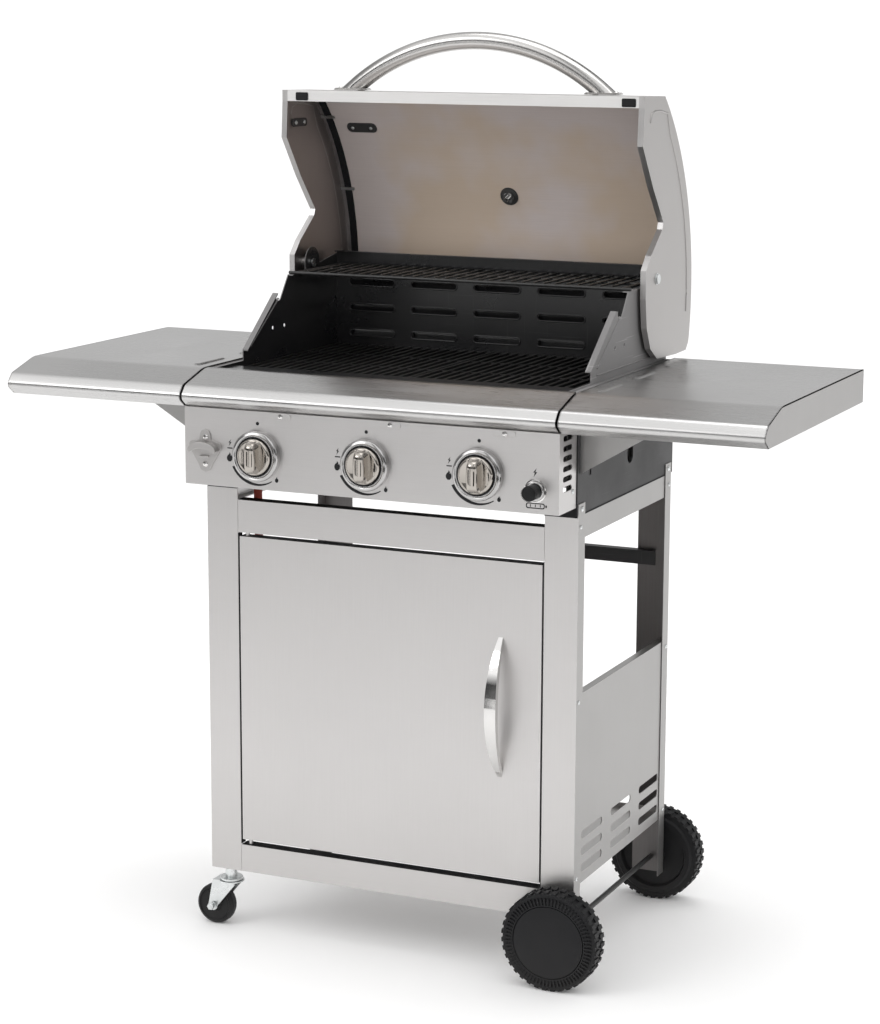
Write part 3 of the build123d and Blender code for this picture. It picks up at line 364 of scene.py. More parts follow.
# Near-black heatproof paint of the body panels; on the rear crossbar the same paint is painted shade,
# standing in for steel in shade.
GREY_PAINT_AND_SHADE = enamel("grey_heatproof_paint_and_painted_shade", (0.024, 0.0235, 0.025), (0.034, 0.033, 0.034), 0.46, bump=0.3)
BOWL_GREY = enamel("bowl_outer_grey", (0.16, 0.155, 0.155), (0.22, 0.215, 0.215), 0.45)
BLACK_ENAMEL = enamel(
    "black_enamel", (0.008, 0.008, 0.009), (0.016, 0.0155, 0.016), 0.24, coat=0.5, bump=0.15,
)
GRATE_ENAMEL = enamel(
    "grate_enamel", (0.008, 0.008, 0.008), (0.018, 0.0175, 0.017), 0.34, pebble=420.0, coat=0.25, bump=0.4,
)
BLACK_PLASTIC = plastic("black_moulded_plastic", (0.0085, 0.0085, 0.0095), 0.42, dusty_below=0.10)
CONTROL_PLASTIC = plastic("black_button_plastic", (0.006, 0.006, 0.0065), 0.30)
# Black rubber for the lid's stops and the shelf seams; also used for dark strips of painted shade in the gaps
# round the door, the knobs and the lid's corners.
RUBBER_AND_SHADE = plastic("black_rubber_and_painted_shade", (0.010, 0.010, 0.011), 0.62)
PRINT = plastic("black_print", (0.012, 0.012, 0.013), 0.5)
BLACK_STEEL = enamel("blackened_steel", (0.020, 0.020, 0.021), (0.05, 0.048, 0.046), 0.38)
HOT_STEEL = heated_steel("heat_tinted_steel", (0.42, 0.40, 0.38), (0.22, 0.15, 0.11))
DIAL_WHITE = plastic("dial_white", (0.60, 0.60, 0.58), 0.35)
HOSE = ribbed_rubber("orange_hose_rubber", (0.36, 0.035, 0.012))


# ------------------------------------------------------------------ mesh tools
def finish_piece(name, mesh, material, body, smooth=35.0, bevel=0.0, segments=2):
    """Turn a bmesh into a piece that rides on a body, with a material, bevel and smooth shading."""
    bmesh.ops.recalc_face_normals(mesh, faces=mesh.faces)
    data = bpy.data.meshes.new(name)
    mesh.to_mesh(data)
    mesh.free()
    piece = put_in_scene(name, data)
    data.materials.append(material)
    for polygon in data.polygons:
        polygon.use_smooth = True
    if bevel:
        add_bevel(piece, bevel, segments)
    data.set_sharp_from_angle(angle=math.radians(smooth))
    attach(piece, body)
    return piece


def add_bevel(piece, width, segments=2, angle=32.0):
    """Round the sharp edges of a piece or of a CAD node."""
    bevel = piece.modifiers.new("edge_rounding", "BEVEL")
    bevel.width = width
    bevel.segments = segments
    bevel.limit_method = "ANGLE"
    bevel.angle_limit = math.radians(angle)
    bevel.harden_normals = False


def put_in_scene(name, data):
    """A new object in the scene's own collection."""
    item = bpy.data.objects.new(name, data)
    bpy.context.scene.collection.objects.link(item)
    return item


def basis(origin, normal, up=(0, 0, 1)):
    """A matrix whose third axis is the normal and whose second axis leans to up."""
    third = Vector(normal).normalized()
    first = Vector(up).cross(third)
    if first.length < 1e-6:
        first = Vector((1, 0, 0))
    first.normalize()
    second = third.cross(first)
    turn = Matrix((first, second, third)).transposed().to_4x4()
    return Matrix.Translation(Vector(origin)) @ turn


def bridge(mesh, first, second, closed=True):
    """Faces between two rows of points."""
    count = len(first)
    for index in range(count if closed else count - 1):
        after = (index + 1) % count
        mesh.faces.new([first[index], first[after], second[after], second[index]])


def circle_points(radius, count):
    """Points round a circle about the origin."""
    turns = [2 * math.pi * step / count for step in range(count)]
    return [(radius * math.cos(turn), radius * math.sin(turn)) for turn in turns]


def add_lathe(mesh, profile, place, segments=48):
    """Revolve (radius, height) points about the third axis of a matrix."""
    rings = []
    for radius, height in profile:
        if radius < 1e-7:
            rings.append([mesh.verts.new(place @ Vector((0, 0, height)))])
            continue
        circle = circle_points(radius, segments)
        rings.append([mesh.verts.new(place @ Vector((x, y, height))) for x, y in circle])
    for lower, upper in zip(rings, rings[1:]):
        for step in range(segments):
            after = (step + 1) % segments
            corners = [(lower, step), (lower, after), (upper, after), (upper, step)]
            unique = list(dict.fromkeys(ring[index % len(ring)] for ring, index in corners))
            if len(unique) > 2:
                mesh.faces.new(unique)


def add_prism(mesh, outline, place, low, high):
    """Extrude a 2-D outline between two heights along the third axis of a matrix."""
    lower = [mesh.verts.new(place @ Vector((x, y, low))) for x, y in outline]
    upper = [mesh.verts.new(place @ Vector((x, y, high))) for x, y in outline]
    mesh.faces.new(lower)
    mesh.faces.new(list(reversed(upper)))
    bridge(mesh, lower, upper)


def add_block(mesh, low, high):
    """A block between two corners."""
    outline = [(low[0], low[1]), (high[0], low[1]), (high[0], high[1]), (low[0], high[1])]
    add_prism(mesh, outline, Matrix.Identity(4), low[2], high[2])


def add_side_block(mesh, side, low, high):
    """A block on one side of the grill; its x values are distances from the middle."""
    x0, x1 = sorted((side * low[0], side * high[0]))
    add_block(mesh, (x0, *low[1:]), (x1, *high[1:]))


def add_tube(mesh, points, radius, segments=12, closed=False):
    """A round tube along points, with level ends."""
    rings = []
    count = len(points)
    for index, point in enumerate(points):
        before = points[index - 1] if index or closed else point
        after = points[(index + 1) % count] if index + 1 < count or closed else point
        heading = (Vector(after) - Vector(before)).normalized()
        side = heading.cross(Vector((0, 0, 1)))
        if side.length < 1e-4:
            side = Vector((1, 0, 0))
        side.normalize()
        lift = side.cross(heading)
        circle = circle_points(radius, segments)
        rings.append([mesh.verts.new(Vector(point) + x * side + y * lift) for x, y in circle])
    pairs = list(zip(rings, rings[1:])) + ([(rings[-1], rings[0])] if closed else [])
    for lower, upper in pairs:
        bridge(mesh, lower, upper)
    if not closed:
        mesh.faces.new(list(reversed(rings[0])))
        mesh.faces.new(rings[-1])


def paint_faces(data, material, test):
    """Give a material to the faces of a mesh that pass a test."""
    data.materials.append(material)
    for polygon in data.polygons:
        if test(polygon):
            polygon.material_index = len(data.materials) - 1


def rounded_rectangle(width, height, radius, steps=6):
    """Outline of a rectangle with round corners, about the origin."""
    points = []
    for quarter, (sx, sy) in enumerate(((1, 1), (-1, 1), (-1, -1), (1, -1))):
        centre = (sx * (width / 2 - radius), sy * (height / 2 - radius))
        for step in range(steps + 1):
            angle = math.pi / 2 * (quarter + step / steps)
            points.append((centre[0] + radius * math.cos(angle), centre[1] + radius * math.sin(angle)))
    return points


# ------------------------------------------------------------------ sizes read from the frame
FORWARD = (0, -1, 0)
UP = (0, 0, 1)
BACK = (0, 1, 0)
panel_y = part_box("control_panel")[0][1]
cap_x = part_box("lid_cap_right")[1][0]
lid_low, lid_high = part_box("lid_skin")
KNOB_X = [-0.177, 0.0, 0.177]
knob_low, knob_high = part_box("knob_2")
knob_z = (knob_low[2] + knob_high[2]) / 2
button_low, button_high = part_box("igniter_button")
button_x = (button_low[0] + button_high[0]) / 2
button_z = (button_low[2] + button_high[2]) / 2
CURVE_Y, CURVE_Z, CURVE_R = -0.1128, 0.981, 0.3951  # axis and radius of the lid's long curve
LID_HINGE_Y, LID_HINGE_Z = 0.121, 1.010
SKIN = 0.00155  # thickness of the lid's sheet, and a hair more
SHELF_LOW, SHELF_HIGH, SHELF_BACK = 0.830, 0.880, 0.208


def on_panel(x, z):
    """A place on the control panel's face, looking forward."""
    return basis((x, panel_y, z), FORWARD)


def curve_point(z, inset=0.0):
    """A point on the lid's long curve at a height, moved inwards by inset, with its outward normal."""
    rise = z - CURVE_Z
    reach = math.sqrt(CURVE_R**2 - rise**2)
    normal = Vector((0, reach / CURVE_R, rise / CURVE_R))
    return Vector((0, CURVE_Y + reach, z)) - normal * inset, normal


# ------------------------------------------------------------------ CAD nodes
REAR_LEGS = ["leg_rear_left", "leg_rear_right"]
LEGS = ["leg_front_left", "leg_front_right", *REAR_LEGS]
SIDE_PANELS = ["side_panel_left", "side_panel_right"]
SIDE_RAILS = ["side_rail_left", "side_rail_right"]
FRONT_RAILS = ["front_rail_upper", "front_rail_lower"]
CASTER_STEMS = ["caster_stem_front", "caster_stem_rear"]
CASTER_FORKS = ["caster_fork_front", "caster_fork_rear"]
FINISHES = {
    STEEL_ALONG_Z: [*LEGS, *SIDE_PANELS, "door_panel"],
    STEEL_ALONG_Y: [*SIDE_RAILS, "drip_tray"],
    STEEL_ALONG_X: [*FRONT_RAILS, "base_shelf", "control_panel"],
    STEEL_TOP: ["shelf_left", "shelf_right", "front_trim"],
    STEEL_LID: ["lid_skin"],
    STEEL_HANDLE: ["lid_handle"],
    STEEL_CAP_SHADE: ["lid_cap_left", "lid_cap_right", "bottle_opener"],
    # Painted shade: the shelf gussets take the darker side-facing copy of the steel.
    STEEL_SIDE_SHADE: ["shelf_gussets"],
    BEZEL: ["panel_bezels"],
    CHROME: ["door_handle", "knob_1", "knob_2", "knob_3", "thermometer"],
    # Painted shade: the rear crossbar takes the near-black paint for the shade it lies in.
    GREY_PAINT_AND_SHADE: ["body_panel_left", "body_panel_right", "rear_crossbar"],
    BOWL_GREY: ["bowl_side_left", "bowl_side_right"],
    BLACK_ENAMEL: ["bowl_front", "bowl_back", "bowl_floor", "flame_tamers"],
    GRATE_ENAMEL: ["grate_left", "grate_right", "warming_rack"],
    HOT_STEEL: ["burners"],
    ZINC: [*CASTER_STEMS, *CASTER_FORKS, "lid_hinge_bolts"],
    BLACK_PLASTIC: ["wheel_front", "wheel_rear", "caster_wheel_front", "caster_wheel_rear"],
    CONTROL_PLASTIC: ["igniter_button", "igniter_body"],
    BLACK_STEEL: ["axle"],
    BRASS: ["gas_manifold", "valve_stem_1", "valve_stem_2", "valve_stem_3", "regulator"],
    HOSE: ["gas_hose"],
}
SHARP_SHEETS = [*LEGS, "door_panel", *FRONT_RAILS, "control_panel", *SIDE_RAILS]


def dress_cad_nodes():
    """Give every CAD node its finish, smooth shading and lightly rounded sheet edges."""
    for material, names in FINISHES.items():
        for name in names:
            node = nodes[name]
            node.data.materials.clear()
            node.data.materials.append(material)
            node.data.set_sharp_from_angle(angle=math.radians(30))
    for name in SHARP_SHEETS:
        add_bevel(nodes[name], 0.0005)


dress_cad_nodes()


# ------------------------------------------------------------------ camera, light and floor
def build_camera():
    """The camera of the main view."""
    camera = put_in_scene("camera", bpy.data.cameras.new("camera"))
    heading, tilt, roll = 0.4233, 0.1914, 0.0037
    right = Vector((math.cos(heading), math.sin(heading), 0))
    ahead = Vector((-math.sin(heading), math.cos(heading), 0))
    forward = ahead * math.cos(tilt) - Vector(UP) * math.sin(tilt)
    up = right.cross(forward)
    turned_right = right * math.cos(roll) + up * math.sin(roll)
    turned_up = up * math.cos(roll) - right * math.sin(roll)
    turn = Matrix((turned_right, turned_up, -forward)).transposed().to_4x4()
    camera.matrix_world = Matrix.Translation((1.6342, -3.6351, 1.4204)) @ turn
    camera.data.lens = 92.68
    camera.data.sensor_width = 36.0
    bpy.context.scene.camera = camera
    bpy.context.scene.view_settings.view_transform = "Standard"


def build_lights():
    """Three soft area lights."""
    for name, place, aim, size, energy in (
        ("key_light", (-2.6, -3.4, 3.4), (0, 0, 0.7), 2.2, 34),
        ("side_light", (4.2, -0.6, 2.4), (0, 0, 0.6), 2.0, 6),
        ("top_light", (0.2, 0.2, 4.2), (0, 0, 0.8), 2.4, 30),
    ):
        lamp = bpy.data.lights.new(name, "AREA")
        lamp.size = size
        lamp.energy = energy
        light = put_in_scene(name, lamp)
        light.location = place
        light.rotation_euler = (Vector(aim) - Vector(place)).to_track_quat("-Z", "Y").to_euler()


def build_world():
    """An even white for most rays, and a pattern of walls and ceiling that only reflections see."""
    world = bpy.data.worlds.new("studio")
    world.use_nodes = True
    bpy.context.scene.world = world
    tree = world.node_tree
    tree.nodes.clear()
    sky = tree.nodes.new("ShaderNodeTexCoord").outputs["Generated"]
    split = make_node(tree, "ShaderNodeSeparateXYZ", {0: sky})
    turn = math_node(tree, "ARCTAN2", split.outputs[1], split.outputs[0])
    flags = map_range(tree, math_node(tree, "SINE", times(tree, turn, 5.0)), 0.45, 0.75, 1.0, 0.18)
    ceiling = map_range(tree, split.outputs[2], 0.26, 0.42, 0.0, 1.0)
    low_walls = map_range(tree, split.outputs[1], -0.3, 0.4, 0.24, 0.66)
    walls = times(tree, flags, low_walls)
    high = map_range(tree, split.outputs[1], -0.3, 0.5, 1.30, 0.62)
    off_centre = math_node(tree, "ABSOLUTE", math_node(tree, "SUBTRACT", split.outputs[0], 0.06))
    gap = map_range(tree, off_centre, 0.07, 0.13, 0.30, 1.0)
    ends = map_range(tree, math_node(tree, "ABSOLUTE", split.outputs[0]), 0.66, 0.80, 1.0, 0.30)
    high = times(tree, high, times(tree, gap, ends))
    shade = make_node(tree, "ShaderNodeMix", {0: ceiling, 2: walls, 3: high}, data_type="FLOAT").outputs[0]
    grey = make_node(tree, "ShaderNodeCombineColor", {0: shade, 1: shade, 2: shade})
    mirrored = make_node(tree, "ShaderNodeBackground", {"Color": grey.outputs[0], "Strength": 1.0})
    even = make_node(tree, "ShaderNodeBackground", {"Color": (1, 1, 1, 1), "Strength": 1.12})
    glossy = tree.nodes.new("ShaderNodeLightPath").outputs["Is Glossy Ray"]
    mix = make_node(tree, "ShaderNodeMixShader", {0: glossy, 1: even.outputs[0], 2: mirrored.outputs[0]})
    output = tree.nodes.new("ShaderNodeOutputWorld")
    tree.links.new(mix.outputs[0], output.inputs[0])


def stage_mesh(name, mesh, material):
    """An object of the stage, which isn't part of the grill."""
    data = bpy.data.meshes.new(name)
    mesh.to_mesh(data)
    mesh.free()
    data.materials.append(material)
    item = put_in_scene(name, data)
    return item


def build_floor():
    """A pale floor without gloss."""
    material, tree, shader, place = new_material("pale_floor")
    clouds = use_group(tree, PATCHES, place, 1.5)[0]
    tone = blend_colours(tree, clouds, (0.975, 0.972, 0.970), (0.985, 0.983, 0.981))
    connect(tree, shader, {"Base Color": tone, "Roughness": 0.9, "Specular IOR Level": 0.0})
    mesh = bmesh.new()
    add_block(mesh, (-90, -90, -0.02), (90, 90, 0.0))
    stage_mesh("floor", mesh, material)


def build_dark_cards():
    """Dark cards in front of the grill that only reflections show."""
    front, back, low_top, high_top = -2.42, -2.40, 0.48, 1.1
    mesh = bmesh.new()
    for x0, x1 in ((0.35, 1.60), (-2.80, -1.75)):
        add_block(mesh, (x0, front, 0.0), (x1, back, low_top))
    for x in (-1.37, -1.08, -0.79):
        add_block(mesh, (x, front, 0.0), (x + 0.07, back, high_top))
        add_block(mesh, (x + 0.12, front, 0.0), (x + 0.15, back, high_top))
    cards = stage_mesh("dark_cards", mesh, PRINT)
    cards.visible_camera = False
    cards.visible_shadow = False


build_camera()
build_lights()
build_world()
build_floor()
build_dark_cards()


# ------------------------------------------------------------------ gas hose
def build_hose():
    """The free gas hose, from the valve manifold down to the regulator on the base shelf."""
    route = [
        (-0.232, -0.165, 0.706), (-0.232, -0.165, 0.610), (-0.229, -0.155, 0.480), (-0.225, -0.141, 0.345),
        (-0.222, -0.128, 0.222), (-0.214, -0.074, 0.1565), (-0.190, 0.040, 0.1565), (-0.144, 0.112, 0.1605),
    ]
    curve = bpy.data.curves.new("gas_hose_rubber", "CURVE")
    curve.dimensions = "3D"
    spline = curve.splines.new("NURBS")
    spline.points.add(len(route) - 1)
    for point, place in zip(spline.points, route):
        point.co = (*place, 1.0)
    spline.order_u = 3
    spline.use_endpoint_u = True
    spline.resolution_u = 16
    curve.bevel_depth = 0.0065
    curve.bevel_resolution = 4
    curve.use_fill_caps = True
    curve.materials.append(HOSE)
    hose = put_in_scene("gas_hose_rubber", curve)
    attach(hose, "frame")
    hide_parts("gas_hose")
    end = basis(route[-1], Vector(route[-2]) - Vector(route[-1]))
    profile = [
        (0.0066, 0.001), (0.0078, 0.001), (0.0080, 0.003), (0.0080, 0.017), (0.0076, 0.019), (0.0066, 0.019),
    ]
    mesh = bmesh.new()
    add_lathe(mesh, profile, end, 24)
    finish_piece("hose_ferrule", mesh, BRASS, "frame")


# ------------------------------------------------------------------ small fixings
def add_pan_head(mesh, place, radius, cross=True):
    """A domed screw head on the face of a matrix, with a cross recess."""
    rise = radius * 0.55
    shares = ((0.0, 0.55), (0.22, 0.6), (0.26, 1.0), (0.72, 0.8), (1.0, 0.25), (1.0, 0.0))
    add_lathe(mesh, [(radius * out, rise * up) for out, up in shares], place, 20)
    if cross:
        for width, height in ((radius * 0.95, radius * 0.2), (radius * 0.2, radius * 0.95)):
            slot = rounded_rectangle(width, height, radius * 0.06, 2)
            add_prism(mesh, slot, place, rise * 0.4, rise * 0.92)


def add_hex_head(mesh, place, across, height):
    """A hexagon head with a slight chamfer."""
    radius = across / math.sqrt(3)
    add_prism(mesh, circle_points(radius, 6), place, 0.0, height)
    top = height + 0.0005
    add_lathe(mesh, [(across * 0.46, height), (across * 0.40, top), (0.0, top)], place, 24)


def build_fixings():
    """Screws on the cart's sides and back, and the bottle opener's two."""
    mesh = bmesh.new()
    screws = [(0.302, y, 0.710, 0.0042) for y in (-0.1845, 0.1845)]
    screws += [(0.302, y, z, 0.0034) for y in (-0.188, 0.188) for z in (0.425, 0.158, 0.684)]
    screws += [(0.2990, -0.2150, 0.7400, 0.0038)]
    screws += [(0.3005, y, 0.812, 0.0038) for y in (-0.16, 0.17)]
    for side in (-1, 1):
        for x, y, z, radius in screws:
            add_pan_head(mesh, basis((side * x, y, z), (side, 0, 0)), radius)
    finish_piece("cart_screws", mesh, ZINC, "frame", 28)

    mesh = bmesh.new()
    for side in (-1, 1):
        for x in (0.318, 0.345):
            add_pan_head(mesh, basis((side * x, 0.1955, 0.835), BACK), 0.0036)
        for z in (0.560, 0.569):
            add_pan_head(mesh, basis((side * (0.262 + (z - 0.56)), 0.1970, z), BACK), 0.0032)
    finish_piece("rear_screws", mesh, ZINC, "frame", 28)

    mesh = bmesh.new()
    for x, z in ((-0.263, 0.786), (-0.264, 0.746)):
        add_pan_head(mesh, basis((x, panel_y - 0.0020, z), FORWARD), 0.0046)
    finish_piece("opener_screws", mesh, CHROME, "frame", 28)


# ------------------------------------------------------------------ control panel
def flame_outline(scale):
    """Outline of a plain flame sign, about its centre."""
    points = [
        (0.0, 1.0), (0.28, 0.62), (0.22, 0.30), (0.50, 0.42), (0.66, -0.05), (0.58, -0.55),
        (0.25, -0.92), (-0.25, -0.92), (-0.58, -0.55), (-0.64, -0.05), (-0.40, 0.40), (-0.10, 0.62),
    ]
    return [(x * scale, y * scale) for x, y in points]


def spark_outline(scale):
    """Outline of a plain spark sign, about its centre."""
    points = [(0.35, 1.0), (-0.45, 0.05), (-0.05, 0.05), (-0.35, -1.0), (0.50, 0.18), (0.08, 0.18)]
    return [(x * scale, y * scale) for x, y in points]


def arc_outline(radius, start, end, thick_start, thick_end, steps=28):
    """Outline of an arc that changes width from one end to the other; angles in degrees."""
    outer, inner = [], []
    for step in range(steps + 1):
        share = step / steps
        angle = math.radians(start + (end - start) * share)
        half = (thick_start + (thick_end - thick_start) * share) / 2
        outer.append(((radius + half) * math.cos(angle), (radius + half) * math.sin(angle)))
        inner.append(((radius - half) * math.cos(angle), (radius - half) * math.sin(angle)))
    return outer + list(reversed(inner))


def build_panel_marks():
    """Plain printed signs round the knobs and the igniter button."""
    mesh = bmesh.new()
    ink = (0.0, 0.00022)

    def put(outline, x, z):
        add_prism(mesh, outline, on_panel(x, z), *ink)

    for x in KNOB_X:
        put(circle_points(0.0027, 16), x, knob_z + 0.0480)
        put(flame_outline(0.0072), x - 0.0470, knob_z - 0.0050)
        put(spark_outline(0.0052), x - 0.0462, knob_z + 0.0165)
        put(rounded_rectangle(0.0085, 0.0018, 0.0006, 2), x - 0.0462, knob_z + 0.0085)
        put(flame_outline(0.0044), x + 0.0310, knob_z - 0.0335)
        put(arc_outline(0.0432, 204, 302, 0.0070, 0.0014), x, knob_z)
    put(spark_outline(0.0066), button_x - 0.0015, button_z + 0.0255)
    put(rounded_rectangle(0.0022, 0.0040, 0.0008, 2), button_x + 0.0158, button_z - 0.0215)
    battery = rounded_rectangle(0.0285, 0.0082, 0.0030)
    place = on_panel(button_x - 0.0005, button_z - 0.0215)
    inner = [(x * 0.90, y * 0.64) for x, y in battery]
    levels = ((battery, 0.0), (battery, ink[1]), (inner, ink[1]), (inner, 0.0))
    rows = [[mesh.verts.new(place @ Vector((x, y, h))) for x, y in outline] for outline, h in levels]
    for row, following in zip(rows, rows[1:] + rows[:1]):
        bridge(mesh, row, following)
    for shift in (-0.0075, 0.0, 0.0075):
        put(rounded_rectangle(0.0012, 0.0040, 0.0004, 2), button_x - 0.0005 + shift, button_z - 0.0215)
    finish_piece("panel_marks", mesh, PRINT, "frame", 30)


def build_control_details():
    """Dark rings of painted shade round the knobs, bezel lips, the panel's screws, and the button's ribs and
    nut.
    """
    mesh = bmesh.new()
    # Painted shade: a dark ring in the gap between each knob and its bezel.
    for x in KNOB_X:
        ring = [(0.0280, 0.0001), (0.0280, 0.0112), (0.0306, 0.0112), (0.0306, 0.0001)]
        add_lathe(mesh, ring, on_panel(x, knob_z), 72)
    finish_piece("knob_gap_shade", mesh, RUBBER_AND_SHADE, "frame", 30)

    pads, heads, pad_height = bmesh.new(), bmesh.new(), 0.0010
    for x in (-0.139, 0.038, 0.216):
        place = on_panel(x, 0.8245)
        add_prism(pads, rounded_rectangle(0.034, 0.0085, 0.0040), place, -0.0002, pad_height)
        add_pan_head(heads, place @ Matrix.Translation((0, 0, pad_height)), 0.0040)
    finish_piece("panel_screw_pads", pads, STEEL_ALONG_X, "frame", 25, 0.0004)
    finish_piece("panel_screw_heads", heads, CHROME, "frame", 25)

    mesh = bmesh.new()
    for x in KNOB_X:
        profile = [
            (0.0302, 0.0100), (0.0318, 0.0121), (0.0332, 0.0126),
            (0.0344, 0.0121), (0.0350, 0.0108), (0.0340, 0.0100),
        ]
        add_lathe(mesh, profile, on_panel(x, knob_z), 72)
    finish_piece("bezel_lips", mesh, BEZEL, "frame", 40)

    mesh = bmesh.new()
    place = basis((button_x, button_low[1], button_z), FORWARD)
    for step in range(28):
        angle = 2 * math.pi * step / 28
        turn = place @ Matrix.Rotation(angle, 4, "Z") @ Matrix.Translation((0.0106, 0, -0.0062))
        add_prism(mesh, rounded_rectangle(0.0010, 0.0011, 0.0004, 2), turn, -0.0052, 0.0052)
    add_lathe(mesh, [(0.0, 0.0003), (0.0052, 0.0003), (0.0060, -0.0002)], place, 32)
    finish_piece("button_ribs", mesh, CONTROL_PLASTIC, "igniter", 25)

    mesh = bmesh.new()
    place = on_panel(button_x, button_z)
    profile = [(0.0152, 0.0), (0.0168, 0.0002), (0.0172, 0.0014), (0.0168, 0.0032), (0.0154, 0.0036)]
    add_lathe(mesh, profile, place, 48)
    add_hex_head(mesh, place, 0.0302, 0.0030)
    finish_piece("button_nut", mesh, CHROME, "frame", 35)


def build_door_shade_strips():
    """Painted shade: dark strips on the rails and legs beside the door, and on the door's top edge, standing
    in for the shade in the gaps.
    """
    mesh = bmesh.new()
    for name in FRONT_RAILS:
        front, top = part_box(name)[0][1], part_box(name)[1][2]
        add_block(mesh, (-0.2490, front + 0.0006, top), (0.2490, front + 0.0190, top + 0.0008))
    for side in (-1, 1):
        add_side_block(mesh, side, (0.2487, -0.1966, 0.1395), (0.2502, -0.1850, 0.6300))
        add_side_block(mesh, side, (0.2500, -0.1990, 0.6985), (0.2994, -0.1900, 0.7135))
        add_side_block(mesh, side, (0.2975, -0.2010, 0.7012), (0.2999, -0.1880, 0.8760))
        add_side_block(mesh, side, (0.2960, -0.1880, 0.7003), (0.3012, 0.1880, 0.7022))
    finish_piece("door_shade_strips", mesh, RUBBER_AND_SHADE, "frame", 30)
    mesh = bmesh.new()
    panel_top = 0.625
    add_block(mesh, (-0.2462, -0.1963, panel_top), (0.2462, -0.1795, panel_top + 0.0007))
    finish_piece("door_top_shade_strip", mesh, RUBBER_AND_SHADE, "door", 30)


def build_knobs():
    """Bright knobs: a round skirt with a raised, hollow-sided grip."""
    crown = 1.03
    half_section = [(-1.0, 0.0), (-0.80, 0.30), (-0.70, 0.62), (-0.62, 0.90), (-0.42, 0.99)]
    section = [*half_section, (0.0, crown), *[(-x, y) for x, y in reversed(half_section)]]
    steps = 30
    for number, x in enumerate(KNOB_X, start=1):
        low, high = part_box(f"knob_{number}")
        depth = high[1] - low[1]
        place = basis((x, high[1], knob_z), FORWARD)
        mesh = bmesh.new()
        skirt = depth - 0.0140
        profile = [
            (0.0, 0.0), (0.0275, 0.0), (0.0275, skirt - 0.0045), (0.0268, skirt - 0.0022),
            (0.0252, skirt - 0.0008), (0.0238, skirt), (0.0226, skirt - 0.0004), (0.0, skirt - 0.0012),
        ]
        add_lathe(mesh, profile, place, 96)
        rows = []
        for step in range(steps + 1):
            share = 2 * step / steps - 1
            height = (depth - skirt + 0.0012) * (1 - abs(share) ** 7)
            half = 0.0122 * (1 - 0.22 * share**2)
            along = 0.0246 * share
            base = skirt - 0.0012
            points = [(half * sx, along, base + height * sh / crown) for sx, sh in section]
            rows.append([mesh.verts.new(place @ Vector(point)) for point in points])
        for lower, upper in zip(rows, rows[1:]):
            bridge(mesh, lower, upper, closed=False)
        knob = finish_piece(f"knob_{number}_shell", mesh, KNOB_CHROME_PAINTED_REFLECTION, f"knob_{number}", 50)
        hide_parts(f"knob_{number}")


def build_opener():
    """A wall bottle opener: an eared plate and a hooded, open-bottomed mouth."""
    place = on_panel(-0.264, 0.766)
    mesh = bmesh.new()
    right = [
        (0.0, 0.0320), (0.0060, 0.0300), (0.0085, 0.0250), (0.0100, 0.0160), (0.0245, 0.0130),
        (0.0275, 0.0090), (0.0262, 0.0030), (0.0120, -0.0200), (0.0080, -0.0290), (0.0, -0.0318),
    ]
    add_prism(mesh, right + [(-x, z) for x, z in reversed(right[1:-1])], place, 0.0, 0.0020)
    outer, inner = [], []
    for step in range(15):
        angle = math.pi * step / 14
        outer.append((0.0235 * math.cos(angle), 0.0010 + 0.0135 * math.sin(angle)))
        inner.append((0.0208 * math.cos(angle), 0.0010 + 0.0108 * math.sin(angle)))
    add_prism(mesh, outer + list(reversed(inner)), place, 0.0020, 0.0150)
    lip = [*outer, (-0.0205, -0.0015), (-0.0090, 0.0042), (0.0090, 0.0042), (0.0205, -0.0015)]
    add_prism(mesh, lip, place, 0.0125, 0.0152)
    tongue = [(-0.0060, -0.0100), (0.0060, -0.0100), (0.0075, -0.0070), (-0.0075, -0.0070)]
    add_prism(mesh, tongue, place, 0.0020, 0.0070)
    opener = finish_piece("opener_body", mesh, STEEL_CAP_SHADE, "frame", 35, 0.0006)
    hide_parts("bottle_opener")


# ------------------------------------------------------------------ lid
def build_lid_rubbers():
    """Two rubber stops on the lid's front band."""
    mesh = bmesh.new()
    for x0, x1 in ((-0.2755, -0.2545), (0.2640, 0.2860)):
        place = basis(((x0 + x1) / 2, lid_low[1], 1.2745), FORWARD)
        add_prism(mesh, rounded_rectangle(x1 - x0, 0.0125, 0.0018, 4), place, -0.0002, 0.0014)
        add_prism(mesh, rounded_rectangle(x1 - x0 - 0.005, 0.0080, 0.0015, 4), place, 0.0014, 0.0020)
    finish_piece("lid_stops", mesh, RUBBER_AND_SHADE, "lid", 35, 0.0006)


def curve_plate(mesh, x0, x1, z0, z1, inset, thickness, steps=10, rounded=0.0):
    """A strip that follows the lid's long curve inside it, between two heights."""
    rows = []
    for step in range(steps + 1):
        z = z0 + (z1 - z0) * step / steps
        point, normal = curve_point(z, inset)
        share = abs(2 * step / steps - 1)
        trim = rounded * (1 - math.sqrt(max(0.0, 1 - share**2)))
        left, right = x0 + trim, x1 - trim
        corners = [(left, 0.0), (right, 0.0), (right, thickness), (left, thickness)]
        places = [(x, point - normal * depth) for x, depth in corners]
        rows.append([mesh.verts.new((x, place.y, place.z)) for x, place in places])
    for lower, upper in zip(rows, rows[1:]):
        bridge(mesh, lower, upper)
    mesh.faces.new(list(reversed(rows[0])))
    mesh.faces.new(rows[-1])


